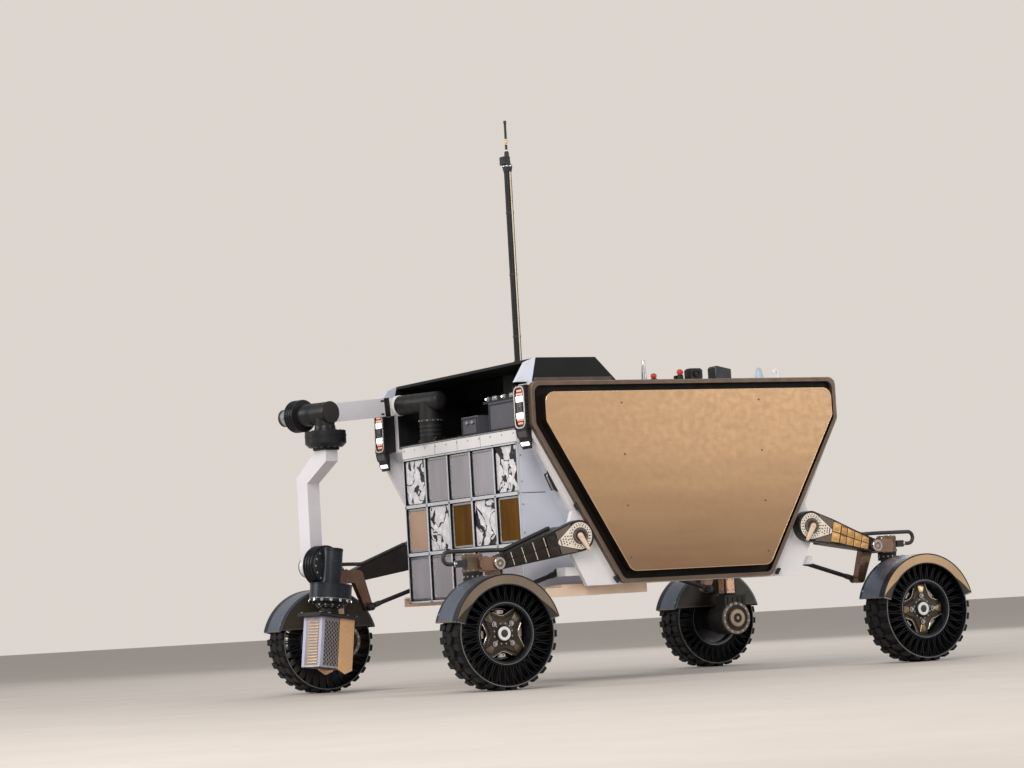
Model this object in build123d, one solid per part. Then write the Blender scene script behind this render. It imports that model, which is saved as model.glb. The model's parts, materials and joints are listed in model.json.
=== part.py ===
from build123d import *
import os
from math import acos, atan2, cos, degrees, hypot, pi, radians, sin, tan

# Planetary rover prototype, millimetres. +X forward, +Y left, +Z up, ground at Z 0.
# Sizes below are measured from mid-wheelbase. The finished pieces are moved back by
# ORIGIN_X, so that the origin lies under the middle of the overall length.

# Running gear
PLATE_Y0 = 1000.0
WHEELBASE = 3006.0
WHEEL_OUT = 237.5
TYRE_R = 330.0
TYRE_W = 229.0
TREAD_DEPTH = 14.0
BAND_T = 16.0
BEAD_R = 181.0
BEAD_T = 10.0
BEAD_W = 186.0
VANE_T = 9.0
VANE_COUNT = 12
VANE_SINK = 3.0
VANE_W = 150.0
LUG_COUNT = 24
LUG_ARC_SHARE = 0.62
RIM_T = 15.0
RIM_FIT = 0.4
RIM_W = 190.0
WEB_T = 24.0
WEB_OUT = 52.0
ARM_COUNT = 4
HUB_TURN = {"fl": 45.0, "fr": 0.0, "rl": 0.0, "rr": 0.0}
WINDOW_R0 = 92.0
WINDOW_R1 = 146.0
WINDOW_HALF = 27.0
PAD_R0 = 92.0
PAD_R1 = 140.0
PAD_HALF = 23.0
PAD_OUT = 7.0
NUT_R = 11.0
NUT_PITCH_R = 78.0
NUT_OUT = 16.0
BOSS_R = 58.0
BOSS_OUT = 26.0
AXLE_R = 30.0
SHAFT_FIT = 0.08
AXLE_LEN = 150.0
AXLE_Z = TYRE_R
AXLE_X = WHEELBASE / 2
WHEEL_Y = PLATE_Y0 + WHEEL_OUT

# Steering
STEER_Y = PLATE_Y0 - 40.0
GEAR_R = 108.0
GEAR_HALF = 98.0
GEAR_Y0 = STEER_Y - GEAR_HALF
GEAR_Y1 = STEER_Y + GEAR_HALF
GEAR_NECK_T = 120.0
GEAR_NECK_HALF = 86.0
GEAR_CAP_R = 60.0
GEAR_CAP_T = 18.0
GEAR_NOSE_R = 84.0
GEAR_NOSE_Y = WHEEL_Y - 61.5
COLUMN_R = 44.0
COLUMN_BLOCK = 92.0
STEER_SEAM = 5.0
STEER_RISE = 370.0
STEER_FACE_Z = AXLE_Z + STEER_RISE
COLUMN_BLOCK_Z0 = STEER_FACE_Z - 195.0
COLUMN_BLOCK_Z1 = STEER_FACE_Z - 75.0
GEAR_NECK_Z = COLUMN_BLOCK_Z0 - 15.0
COLLAR_R = 56.0
COLLAR_T = 34.0
STEER_DISC_R = 58.0
STEER_DISC_T = 50.0
STEER_GAP = 0.5
KINGPIN_R = 25.0
KINGPIN_UP = 60.0
ACTUATOR_R = 60.0
ACTUATOR_H = 105.0
EAR_LOW = 15.0
EAR_HIGH = 20.0

# Fender
FENDER_GAP = 19.0
FENDER_R = TYRE_R + FENDER_GAP
FENDER_T = 5.0
FENDER_DROP = 10.0
FENDER_LOW = 75.0
FENDER_HIGH = 75.0
FENDER_Y0 = WHEEL_Y - TYRE_W / 2 - 17.0
FENDER_Y1 = WHEEL_Y + TYRE_W / 2 + 14.0
FENDER_LIP_T = 4.0
FENDER_LIP_W = 62.0
SHIELD_T = 4.0
SHIELD_Z = AXLE_Z + GEAR_NOSE_R + 6.0

# Hull
PLATE_T = 35.0
PLATE_Y1 = PLATE_Y0 + PLATE_T
PLATE_BOTTOM_Z = 585.0
PLATE_BOTTOM_X = 767.0
PLATE_LUG_X = 868.0
PLATE_LUG_Z = 786.0
HULL_WALL = 20.0
HULL_BOTTOM_Z = PLATE_BOTTOM_Z + 15.0
HULL_BOTTOM_X = 590.0
DECK_Z = 1825.0
DECK_T = 22.0
PANEL_TOP_X = 1104.5
PLATE_TOP_X = PANEL_TOP_X - 18.5
PLATE_BEND_Z = DECK_Z - 335.0
HULL_FACE = (PLATE_TOP_X - 41.0, DECK_Z - 285.0)
HULL_BEND = (PLATE_TOP_X - 111.0, DECK_Z - 350.0)
DECK_HOLES = (500.0, 400.0)
DECK_HOLES_X = -480.0
DECK_HOLE_R = 5.5
PAD_EDGE = 80.0
PAD_T = 12.0
RAIL_REAR_X = 300.0
RAIL_X = 900.0
RAIL_DROP = 69.0
RAIL_Z0 = HULL_BOTTOM_Z - RAIL_DROP
RAIL_Y1 = PLATE_Y0 - 50.0

# Suspension
PIVOT_X = 837.0
PIVOT_Z = 886.0
PIVOT_R = 95.0
PIN_X = AXLE_X - 136.0
PIN_Z = STEER_FACE_Z + 45.0
PIN_R = 40.0
LEG_Y0 = PLATE_Y0 - 50.0
LEG_Y1 = PLATE_Y1 + 62.6
LEG_PIN_Y1 = PLATE_Y1 - 5.0
LEG_TAPER_X = PIVOT_X + 163.0
LEG_HUB_REACH = PIVOT_X + 108.0
LEG_PLATE_R = 80.0
LEG_PLATE_T = 6.0
LEG_PLATE_REACH = 210.0
LEG_DISC_R = 50.0
LEG_DISC_T = 9.0
TILE_COUNT = 5
TILE_START = 0.46
TILE_END = 0.90
TILE_GAP = 7.0
TILE_T = 5.0
TILE_SHARE = 0.72
PIN_CAP_R = 30.0
PIN_CAP_T = 12.0
CHEEK_T = 14.0
ROD_X0 = PIVOT_X + 32.0
ROD_Z0 = PLATE_LUG_Z - 110.0
ROD_X1 = AXLE_X - 204.0
ROD_Z1 = STEER_FACE_Z - 157.0
ROD_R = 14.0
ROD_EYE_R = 26.0
ROD_EYE_W = 44.0
ROD_Y = PLATE_Y0 - 128.0
LUG_REACH = 110.0
YOKE_H = 86.0
YOKE_X = AXLE_X - 83.0
UPRIGHT_TRIM = 2.0

# Steering hose, from the top of the leg round to a connector on the actuator
HOSE_R = 9.0
HOSE_START_X = PIVOT_X + 138.0
HOSE_LIFT_X = PIN_X - 67.0
HOSE_GAP = 0.3
HOSE_HIGH = 22.0
HOSE_LOOP_R = 37.0
HOSE_LOOP_X = AXLE_X + 200.0
HOSE_Y = STEER_Y + 12.0
PLUG_L = 52.0
PLUG_W = 42.0

# Side panel: a bronze tray that holds a gold sheet
PANEL_TOP_Z = DECK_Z
PANEL_BEND_Z = DECK_Z - 263.0
PANEL_LOW_X = 541.6
PANEL_LOW_Z = PLATE_BOTTOM_Z + 4.0
PANEL_Y1 = PLATE_Y1 + 39.8
PANEL_BACK_T = 10.0
PANEL_RIM = 26.0
PANEL_CORNER_R = 52.0
CORNER_SHARE = 0.3
SHEET_INSET = 70.0
SHEET_T = 4.0
SHEET_Y = PLATE_Y1 + 90.0
CORE_STEP = 3.0

# Payload rack
RACK_X = PLATE_TOP_X - 28.0
RACK_DEPTH = 358.0
RACK_BACK_X = RACK_X - RACK_DEPTH
RACK_HALF = PLATE_Y0 - 225.0
BAND_TOP_Z = DECK_Z - 266.5
BAND_H = 75.5
BAND_DEPTH = 60.0
RACK_ROW_H = 311.5
RACK_ROWS = 3
RACK_TOP_Z = BAND_TOP_Z - BAND_H
RACK_COLUMNS = 5
RACK_BAR = 22.0
RACK_BAR_DEPTH = 40.0
RACK_WALL = 12.0
DOOR_GAP = 3.0
DOOR_T = 16.0
DOOR_SINK = 12.0
DOOR_CORNER_R = 18.0
DOOR_LAP = 10.0
DOOR_SEAT = 0.3
RAIL_Y0 = RACK_HALF + 25.0

# Arm bay and canopy
BAY_DEPTH = 588.0
BAY_BACK_X = RACK_X - BAY_DEPTH
BAY_HALF = PLATE_Y0 - 200.0
BAY_WALL = 16.0
BAY_BOX_IN = 230.0
BAY_BOX_L = 260.0
BAY_BOX_X0 = BAY_BACK_X + BAY_BOX_IN
BAY_BOX_X1 = BAY_BOX_X0 + BAY_BOX_L
SHELF_T = 12.0
SHELF_L = 300.0
SHELF_W = 500.0
CANOPY_HALF = PLATE_Y0 - 30.0
CANOPY_H = 152.0
CANOPY_TOP_Z = DECK_Z + CANOPY_H
CANOPY_FRONT_X = PLATE_TOP_X - 86.0
CANOPY_LEAN = 36.0
CANOPY_REAR_X = BAY_BACK_X - 35.0
CANOPY_REAR_TOP_X = CANOPY_REAR_X + 149.0
CANOPY_T = 18.0
CANOPY_SIDE_T = 45.0
CHEEK_TOP = (CANOPY_FRONT_X + 66.0, CANOPY_TOP_Z - 26.0)
CHEEK_LOW = (CANOPY_FRONT_X + 142.0, DECK_Z + 6.0)
MAST_FOOT_W = 150.0
MAST_FOOT_L = 160.0
CLEAR = 0.5

# Small pieces that stand on the deck along its left edge
DECK_ITEM_Y = PLATE_Y0 - 100.0
SWITCHES = (
    # x, foot radius, foot height, head radius, head height
    (200.0, 18.0, 8.0, 14.0, 135.0),
    (130.0, 24.0, 20.0, 16.0, 36.0),
    (-63.0, 20.0, 38.0, 26.0, 72.0),
)
CAMERA = (-210.0, -113.0, 70.0, 82.0)
RECEIVER = (-414.0, -297.0, 90.0, 92.0)
BEACON = (-649.0, 34.0, 14.0, 80.0)
VENT = (-795.0, 24.0, 10.0, 13.0, 70.0)
BAY_BOXES = (
    # middle in y, width, height
    (445.0, 370.0, 185.5),
    (0.0, 220.0, 125.5),
)
REAR_COVER_W = 1500.0
REAR_COVER_T = 12.0
REAR_COVER_EDGE = 15.0
HANDLE_Y = PLATE_Y0 - 100.0
HANDLE_Z = 1240.0
HANDLE_T = 40.0
HANDLE_W = 70.0
HANDLE_H = 110.0

# Lamps
LAMP_BACK_X = HULL_FACE[0]
LAMP_X = PLATE_TOP_X + 41.0
LAMP_Y0 = PLATE_Y0 - 110.0
LAMP_Y = PLATE_Y0 - 35.0
LAMP_Z = DECK_Z - 149.5
LAMP_H = 262.0
LAMP_FACE_W = 92.0
LAMP_FACE_T = 9.0
LAMP_FACE_EDGE = 20.0
LAMP_FACE_R = 30.0
LAMP_FACE_OUT = 3.0
LAMP_CELL = (26.0, 30.0)
LAMP_CELL_OUT = 2.0
LAMP_CELL_Y = 15.0
LAMP_CELL_Z = 44.0
LAMP_EYE_R = 20.0
FLOOD_W = 120.0
FLOOD_H = 120.0
FLOOD_LIP = 10.0
FLOOD_FACE = 40.0

# Mast
MAST_X = BAY_BACK_X + 113.0
MAST_R = 24.0
MAST_POST_R = 45.0
MAST_FOOT_UP = 14.0
COLLAR_UP = 20.0
MAST_COLLAR_R = 60.0
MAST_H = 1339.0
MAST_TOP_Z = CANOPY_TOP_Z + MAST_H
HEAD_W = 50.0
HEAD_H = 52.0
HEAD_SHIFT = 16.0
WHIP_R = 8.0
WHIP_L = 288.0
WHIP_BAND_R = 13.0
WHIP_BAND_H = 34.0

# Arm: v is the link's direction in plan, u is the lateral axis of the shoulder,
# elbow and wrist. Every place on the arm is given along v and u from the base.
ARM_X = RACK_X - 37.0
ARM_INSET = 378.0
ARM_Y = ARM_INSET - BAY_HALF
ARM_AZ = 16.0
TOOL_V = 700.0
TOOL_U = -230.0
LINK_U = -358.0
SHOULDER_Z = DECK_Z + 8.0
ELBOW_Z = DECK_Z - 50.0
WRIST_DROP = 963.0
WRIST_Z = ELBOW_Z - WRIST_DROP
ARM_TURN_Z = DECK_Z - 125.0
ARM_BASE_R = 70.0
ARM_PLATE = 230.0
ARM_PLATE_T = 20.0
SHOULDER_R = 64.0
SHOULDER_END = 14.0
LINK_H = 118.0
LINK_T = 104.0
MOTOR_R = 52.0
MOTOR_LEN = 32.0
ELBOW_R = 70.0
ELBOW_NEAR = 65.0
NECK_R = 62.0
JOINT_GAP = 0.5
BARREL_R = 98.0
BARREL_LEN = 86.0
BARREL_NECK = 14.0
FIN_COUNT = 4
FIN_OUT = 4.0
FIN_SHARE = 0.45
END_R = 53.0
END_LEN = 108.0
ROLL_R = 130.0
ROLL_FACE_Z = ELBOW_Z - 163.0
ROLL_TOP_Z = ELBOW_Z - 115.0
ROLL_LOW_Z = ELBOW_Z - 217.0
ROLL_CHAMFER = 24.0
DROP_W = 100.0
DROP_SHIFT = 192.0
DROP_IN_FALL = (307.0, 436.0)
DROP_OUT_FALL = (235.0, 398.0)
DROP_IN_Z = (ELBOW_Z - DROP_IN_FALL[0], ELBOW_Z - DROP_IN_FALL[1])
DROP_OUT_Z = (ELBOW_Z - DROP_OUT_FALL[0], ELBOW_Z - DROP_OUT_FALL[1])
DROP_END_R = 66.0
TOOL_TILT = 8.0
WRIST_R = 124.0
WRIST_LEN = 96.0
TURNER_R = 63.0
TURNER_TOP = 106.0
TURNER_DISC_R = 132.0
TURNER_DISC_Z = (WRIST_Z - 237.0, WRIST_Z - 122.0)
TOOL_FLANGE_R = 86.0
TOOL_NECK_R = 57.0
TOOL_PLATE = (340.0, 216.0)
TOOL_PLATE_T = 22.0
TOOL_PLATE_Z = TURNER_DISC_Z[0] - 100.0
TOOL_NECK_Z = TURNER_DISC_Z[0] - 30.0
SCOOP_V = (-90.0, 130.0)
SCOOP_HALF_U = 87.0
SCOOP_WALL = 5.0
SCOOP_H = 315.0
BLADE_V = (-130.0, -14.0)
BLADE_T = 7.0
BLADE_H = 345.0
BLADE_POINT = 26.0
BLADE_GAP = 0.3
LOUVRE_COUNT = 12
LOUVRE_OUT = 3.0
LOUVRE_SHARE = 0.45

PLATE_REACH = (TOOL_PLATE[0] / 2 * cos(radians(TOOL_TILT))
               + (WRIST_Z - TOOL_PLATE_Z) * sin(radians(TOOL_TILT)))
FRONT_REACH = (ARM_X + (TOOL_V + PLATE_REACH) * cos(radians(ARM_AZ))
               - (TOOL_U - TOOL_PLATE[1] / 2) * sin(radians(ARM_AZ)))
REAR_REACH = AXLE_X + (FENDER_R + FENDER_T) * sin(radians(FENDER_LOW))
ORIGIN_X = (FRONT_REACH - REAR_REACH) / 2

CORNERS = {"fl": (1, 1), "fr": (1, -1), "rl": (-1, 1), "rr": (-1, -1)}
CENTRE_MIN = (Align.CENTER, Align.CENTER, Align.MIN)


# Helpers

def block(x, y, z):
    """A box between two values along each axis."""
    size = (x[1] - x[0], y[1] - y[0], z[1] - z[0])
    middle = ((x[0] + x[1]) / 2, (y[0] + y[1]) / 2, (z[0] + z[1]) / 2)
    return Pos(*middle) * Box(*size)


def rod(start, end, radius):
    """A round bar from one point to another."""
    line = Vector(*end) - Vector(*start)
    return Plane(origin=start, z_dir=line) * Cylinder(radius, line.length, align=CENTRE_MIN)


def side_plane(y):
    """Sketch X and Z on the plane at this Y; its extrusion runs towards -Y."""
    return Plane(origin=(0, y, 0), x_dir=(1, 0, 0), z_dir=(0, -1, 0))


def side_prism(face, y0, y1):
    return extrude(side_plane(y1) * face, y1 - y0)


def polygon(points):
    return make_face(Polyline(*points, close=True))


def front_prism(points, x0, x1):
    """An outline in Y and Z, from x0 to x1."""
    plane = Plane(origin=(x0, 0, 0), x_dir=(0, 1, 0), z_dir=(1, 0, 0))
    return extrude(plane * polygon(points), x1 - x0)


def taper(p1, r1, p2, r2):
    """The outline around two circles and their outer tangents."""
    dx, dz = p2[0] - p1[0], p2[1] - p1[1]
    reach = hypot(dx, dz)
    heading = atan2(dz, dx)
    swing = acos((r1 - r2) / reach)
    points = []
    for (cx, cz), r, sign in ((p1, r1, 1), (p2, r2, 1), (p2, r2, -1), (p1, r1, -1)):
        angle = heading + sign * swing
        points.append((cx + r * cos(angle), cz + r * sin(angle)))
    return polygon(points) + Pos(*p1) * Circle(r1) + Pos(*p2) * Circle(r2)


def to_corner(shape, corner):
    """A front left piece, mirrored to its corner."""
    sx, sy = CORNERS[corner]
    if sx < 0:
        shape = mirror(shape, about=Plane.YZ)
    if sy < 0:
        shape = mirror(shape, about=Plane.XZ)
    return shape


def both_sides(shape):
    return [shape, mirror(shape, about=Plane.XZ)]


def all_corners(shape):
    return [to_corner(shape, corner) for corner in CORNERS]


def on_arm(v, u, z):
    """A place on the arm, from its base, in the model's frame."""
    a = radians(ARM_AZ)
    return (ARM_X + v * cos(a) - u * sin(a), ARM_Y + v * sin(a) + u * cos(a), z)


def arm_frame(v, u, z):
    """Local X along v, Y along u, Z up."""
    return Location(on_arm(v, u, z), (0, 0, ARM_AZ))


def lateral(v, z, u0, u1, radius):
    """A drum along the lateral axis."""
    return rod(on_arm(v, u0, z), on_arm(v, u1, z), radius)


def upright_drum(v, u, z0, z1, radius):
    return rod(on_arm(v, u, z0), on_arm(v, u, z1), radius)


def swung_out(shape):
    """A piece beyond the wrist, turned with it so that the tool's foot points away from the hull."""
    a = radians(ARM_AZ)
    return shape.rotate(Axis(on_arm(TOOL_V, TOOL_U, WRIST_Z), (-sin(a), cos(a), 0)), -TOOL_TILT)


nodes = {}


# Wheels

def wheel_y(radius0, radius1, y0, y1):
    """A ring about the front left axle."""
    outer = rod((AXLE_X, y0, AXLE_Z), (AXLE_X, y1, AXLE_Z), radius1)
    if radius0 <= 0:
        return outer
    return outer - rod((AXLE_X, y0 - 1, AXLE_Z), (AXLE_X, y1 + 1, AXLE_Z), radius0)


def around_axle(shape, count, start=0.0):
    centre = Axis((AXLE_X, 0, AXLE_Z), (0, 1, 0))
    return [shape.rotate(centre, start + 360.0 * i / count) for i in range(count)]


def tread_outline():
    """The tyre's outer outline: a flat topped lug and a groove at every pitch, one lug flat on the ground."""
    points = []
    half = pi / LUG_COUNT * LUG_ARC_SHARE
    for i in range(LUG_COUNT):
        middle = 2 * pi * i / LUG_COUNT
        for angle, radius in ((-half, TYRE_R - TREAD_DEPTH), (-half, TYRE_R / cos(half)),
                              (half, TYRE_R / cos(half)), (half, TYRE_R - TREAD_DEPTH)):
            points.append((AXLE_X + radius * cos(middle + angle), AXLE_Z + radius * sin(middle + angle)))
    return polygon(points)


def flat_sided(radius, half_width):
    """A prism around the axle with a flat under every lug, at this distance from the axle."""
    corner_r = radius / cos(pi / LUG_COUNT)
    points = []
    for i in range(LUG_COUNT):
        angle = 2 * pi * (i + 0.5) / LUG_COUNT
        points.append((AXLE_X + corner_r * cos(angle), AXLE_Z + corner_r * sin(angle)))
    return side_prism(polygon(points), WHEEL_Y - half_width, WHEEL_Y + half_width)


def make_tyre():
    """An airless tyre: a tread band, thin vanes that carry it, and a bead ring on the rim."""
    band_r = TYRE_R - TREAD_DEPTH - BAND_T
    tread = side_prism(tread_outline(), WHEEL_Y - TYRE_W / 2, WHEEL_Y + TYRE_W / 2)
    band = tread - flat_sided(band_r, TYRE_W)
    bead = flat_sided(BEAD_R + BEAD_T, BEAD_W / 2) - wheel_y(0, BEAD_R, WHEEL_Y - BEAD_W, WHEEL_Y + BEAD_W)
    span = (AXLE_Z + BEAD_R + BEAD_T - VANE_SINK, AXLE_Z + band_r + VANE_SINK)
    vane = block((AXLE_X - VANE_T / 2, AXLE_X + VANE_T / 2), (WHEEL_Y - VANE_W / 2, WHEEL_Y + VANE_W / 2), span)
    return band + bead + around_axle(vane, VANE_COUNT)


def make_hub():
    rim_r = BEAD_R - RIM_FIT
    face = WHEEL_Y + WEB_OUT
    drum = wheel_y(rim_r - RIM_T, rim_r, WHEEL_Y - RIM_W / 2, WHEEL_Y + RIM_W / 2)
    web = wheel_y(0, rim_r - RIM_T + 2, face - WEB_T, face)
    reach = 2 * WINDOW_R1
    side, up = reach * sin(radians(WINDOW_HALF)), reach * cos(radians(WINDOW_HALF))
    corners = [(AXLE_X, AXLE_Z), (AXLE_X + side, AXLE_Z + up), (AXLE_X - side, AXLE_Z + up)]
    wedge = side_prism(polygon(corners), face - WEB_T - 1, face + 1)
    window = wheel_y(WINDOW_R0, WINDOW_R1, face - WEB_T - 1, face + 1) & wedge
    for cut in around_axle(window, ARM_COUNT, 180 / ARM_COUNT):
        web -= cut
    pad = block((AXLE_X - PAD_HALF, AXLE_X + PAD_HALF), (face - 1, face + PAD_OUT),
                (AXLE_Z + PAD_R0, AXLE_Z + PAD_R1))
    nut = rod((AXLE_X, face - 1, AXLE_Z + NUT_PITCH_R), (AXLE_X, face + NUT_OUT, AXLE_Z + NUT_PITCH_R), NUT_R)
    web += around_axle(pad, ARM_COUNT) + around_axle(nut, ARM_COUNT)
    boss = wheel_y(0, BOSS_R, face - 1, face + BOSS_OUT)
    shaft = wheel_y(0, AXLE_R, face - WEB_T - AXLE_LEN, face)
    return drum + web + boss + shaft


# Steering bodies: the drop gearcase with its column, and the fender

def make_gearcase():
    body = wheel_y(0, GEAR_R, GEAR_Y0, GEAR_Y1)
    nose = wheel_y(0, GEAR_NOSE_R, GEAR_Y1 - 1, GEAR_NOSE_Y)
    top = STEER_FACE_Z - STEER_GAP
    neck = block((AXLE_X - GEAR_NECK_HALF, AXLE_X + GEAR_NECK_HALF), (GEAR_Y0, GEAR_Y0 + GEAR_NECK_T),
                 (AXLE_Z, GEAR_NECK_Z))
    cap = wheel_y(0, GEAR_CAP_R, GEAR_Y0 - GEAR_CAP_T, GEAR_Y0 + 1)
    column = rod((AXLE_X, STEER_Y, AXLE_Z), (AXLE_X, STEER_Y, top), COLUMN_R)
    half = COLUMN_BLOCK / 2
    jacket = block((AXLE_X - half, AXLE_X + half), (STEER_Y - half, STEER_Y + half),
                   (COLUMN_BLOCK_Z0, COLUMN_BLOCK_Z1))
    collar = rod((AXLE_X, STEER_Y, COLUMN_BLOCK_Z0 - COLLAR_T), (AXLE_X, STEER_Y, COLUMN_BLOCK_Z0), COLLAR_R)
    disc = rod((AXLE_X, STEER_Y, top - STEER_DISC_T), (AXLE_X, STEER_Y, top), STEER_DISC_R)
    kingpin = rod((AXLE_X, STEER_Y, top - 5), (AXLE_X, STEER_Y, STEER_FACE_Z + KINGPIN_UP), KINGPIN_R)
    ear = block((AXLE_X - half, AXLE_X + half), (STEER_Y, FENDER_Y0),
                (COLUMN_BLOCK_Z0 + EAR_LOW, COLUMN_BLOCK_Z1 - EAR_HIGH))
    bore_y0 = WHEEL_Y + WEB_OUT - WEB_T - AXLE_LEN - 2
    bore = wheel_y(0, AXLE_R + SHAFT_FIT, bore_y0, GEAR_NOSE_Y + 1)
    return body + nose + neck + cap + column + jacket + collar + disc + kingpin + ear - bore


def fender_ring(radius0, radius1, y0, y1):
    """A ring about the fender's own centre, a little below the axle."""
    return Pos(0, 0, -FENDER_DROP) * wheel_y(radius0, radius1, y0, y1)


def make_fender():
    outer = FENDER_R + FENDER_T
    centre_z = AXLE_Z - FENDER_DROP
    ring = fender_ring(FENDER_R, outer, FENDER_Y0, FENDER_Y1)
    lip = fender_ring(outer - FENDER_LIP_W, outer, FENDER_Y1 - FENDER_LIP_T, FENDER_Y1)
    reach = outer * 1.5
    front = (AXLE_X + reach * sin(radians(FENDER_HIGH)), centre_z + reach * cos(radians(FENDER_HIGH)))
    rear = (AXLE_X - reach * sin(radians(FENDER_LOW)), centre_z + reach * cos(radians(FENDER_LOW)))
    above = centre_z + reach
    sector = side_prism(polygon([(AXLE_X, centre_z), rear, (rear[0], above), (front[0], above), front]),
                        FENDER_Y0 - 1, FENDER_Y1 + 1)
    shield = fender_ring(0, FENDER_R + 1, FENDER_Y0, FENDER_Y0 + SHIELD_T)
    shield &= block((AXLE_X - outer, AXLE_X + outer), (FENDER_Y0 - 1, FENDER_Y0 + SHIELD_T + 1),
                    (SHIELD_Z, AXLE_Z + outer))
    return ((ring + lip) & sector) + shield


tyre, hub = make_tyre(), make_hub()
gearcase, fender = make_gearcase(), make_fender()
for corner in CORNERS:
    nodes["tyre_" + corner] = to_corner(tyre, corner)
    turned_hub = around_axle(hub, 1, HUB_TURN[corner])[0]
    nodes["hub_" + corner] = to_corner(turned_hub, corner)
    nodes["gearcase_" + corner] = to_corner(gearcase, corner)
    nodes["fender_" + corner] = to_corner(fender, corner)


# Suspension, front left and then mirrored

def leg_plan(start, end, out):
    """The outer edge of the leg in plan between two places along it, widened outwards by an amount."""
    drop = (LEG_Y1 - LEG_PIN_Y1) / (PIN_X - PIN_R - LEG_TAPER_X)
    return [(x, LEG_Y1 - (x - LEG_TAPER_X) * drop + out) for x in (start, end)]


def make_leg():
    outline = taper((PIVOT_X, PIVOT_Z), PIVOT_R, (PIN_X, PIN_Z), PIN_R)
    start, end = PIVOT_X - 2 * PIVOT_R, PIN_X + 2 * PIN_R
    plan = polygon([(start, PLATE_Y1), (LEG_HUB_REACH, PLATE_Y1), (LEG_HUB_REACH, LEG_Y0), (end, LEG_Y0),
                    (end, LEG_PIN_Y1), (PIN_X - PIN_R, LEG_PIN_Y1), (LEG_TAPER_X, LEG_Y1), (start, LEG_Y1)])
    leg = side_prism(outline, LEG_Y0, LEG_Y1) & extrude(plan, DECK_Z)
    heading = atan2(PIN_Z - PIVOT_Z, PIN_X - PIVOT_X)
    tip = (PIVOT_X + LEG_PLATE_REACH * cos(heading), PIVOT_Z + LEG_PLATE_REACH * sin(heading))
    plate = side_prism(taper((PIVOT_X, PIVOT_Z), LEG_PLATE_R, tip, LEG_PLATE_R / 4),
                       LEG_Y1, LEG_Y1 + LEG_PLATE_T)
    plate_face = LEG_Y1 + LEG_PLATE_T
    disc = rod((PIVOT_X, plate_face - 1, PIVOT_Z), (PIVOT_X, plate_face + LEG_DISC_T, PIVOT_Z), LEG_DISC_R)
    return leg + plate + disc + make_leg_tiles()


def make_leg_tiles():
    """Two rows of raised tiles along the tapered part of the leg."""
    def along(share, across):
        """A place on the leg's side: its share of the way to the pin, and across from -1 to 1."""
        x = PIVOT_X + (PIN_X - PIVOT_X) * share
        half = (PIVOT_R + (PIN_R - PIVOT_R) * share) * TILE_SHARE
        return (x, PIVOT_Z + (PIN_Z - PIVOT_Z) * share + half * across)

    length = PIN_X - PIVOT_X
    pitch = (TILE_END - TILE_START) / TILE_COUNT
    tiles = []
    for i in range(TILE_COUNT):
        s0 = TILE_START + i * pitch
        s1 = s0 + pitch - TILE_GAP / length
        for low, high in ((-1.0, -TILE_GAP / PIVOT_R), (TILE_GAP / PIVOT_R, 1.0)):
            tiles.append(side_prism(polygon([along(s0, low), along(s1, low), along(s1, high), along(s0, high)]),
                                    LEG_Y0, LEG_Y1 + TILE_T))
    start, end = LEG_TAPER_X, PIN_X - PIN_R
    skin = leg_plan(start, end, TILE_T) + list(reversed(leg_plan(start, end, -TILE_T)))
    return [tile & extrude(polygon(skin), DECK_Z) for tile in tiles]


def make_lower_rod():
    bar = rod((ROD_X0, ROD_Y, ROD_Z0), (ROD_X1, ROD_Y, ROD_Z1), ROD_R)
    eyes = [rod((x, ROD_Y - ROD_EYE_W / 2, z), (x, ROD_Y + ROD_EYE_W / 2, z), ROD_EYE_R)
            for x, z in ((ROD_X0, ROD_Z0), (ROD_X1, ROD_Z1))]
    return bar + eyes


def make_knuckle():
    upright_y0 = ROD_Y + ROD_EYE_W / 2
    top_z = STEER_FACE_Z + YOKE_H
    outline = taper((PIN_X, PIN_Z), PIN_R, (ROD_X1, ROD_Z1), ROD_EYE_R + UPRIGHT_TRIM)
    upright = side_prism(outline, upright_y0, LEG_Y0)
    cheek = side_prism(taper((PIN_X, PIN_Z), PIN_R, (YOKE_X + PIN_R, PIN_Z), PIN_R - UPRIGHT_TRIM),
                       LEG_PIN_Y1, LEG_PIN_Y1 + CHEEK_T)
    cap_y = LEG_PIN_Y1 + CHEEK_T
    cap = rod((PIN_X, cap_y - 1, PIN_Z), (PIN_X, cap_y + PIN_CAP_T, PIN_Z), PIN_CAP_R)
    bridge = block((YOKE_X, AXLE_X - STEER_SEAM), (upright_y0, LEG_PIN_Y1 + 1), (STEER_FACE_Z, top_z))
    inner = block((PIN_X, AXLE_X - STEER_SEAM), (upright_y0, LEG_Y0),
                  (STEER_FACE_Z + UPRIGHT_TRIM, top_z - UPRIGHT_TRIM))
    actuator = rod((AXLE_X, STEER_Y, STEER_FACE_Z), (AXLE_X, STEER_Y, STEER_FACE_Z + ACTUATOR_H), ACTUATOR_R)
    bore = rod((AXLE_X, STEER_Y, STEER_FACE_Z - 1), (AXLE_X, STEER_Y, STEER_FACE_Z + KINGPIN_UP + 2),
               KINGPIN_R + SHAFT_FIT)
    return upright + cheek + cap + bridge + inner + actuator - bore


def leg_top(x):
    """The height of the leg's upper edge, on the outer tangent of its two ends."""
    reach = hypot(PIN_X - PIVOT_X, PIN_Z - PIVOT_Z)
    normal = atan2(PIN_Z - PIVOT_Z, PIN_X - PIVOT_X) + acos((PIVOT_R - PIN_R) / reach)
    x0, z0 = PIVOT_X + PIVOT_R * cos(normal), PIVOT_Z + PIVOT_R * sin(normal)
    return z0 - (x - x0) / tan(normal) + (HOSE_R + HOSE_GAP) / sin(normal)


hose_high = STEER_FACE_Z + ACTUATOR_H + HOSE_HIGH
hose_low = hose_high - 2 * HOSE_LOOP_R
plug_x = AXLE_X + ACTUATOR_R + HOSE_GAP


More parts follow.
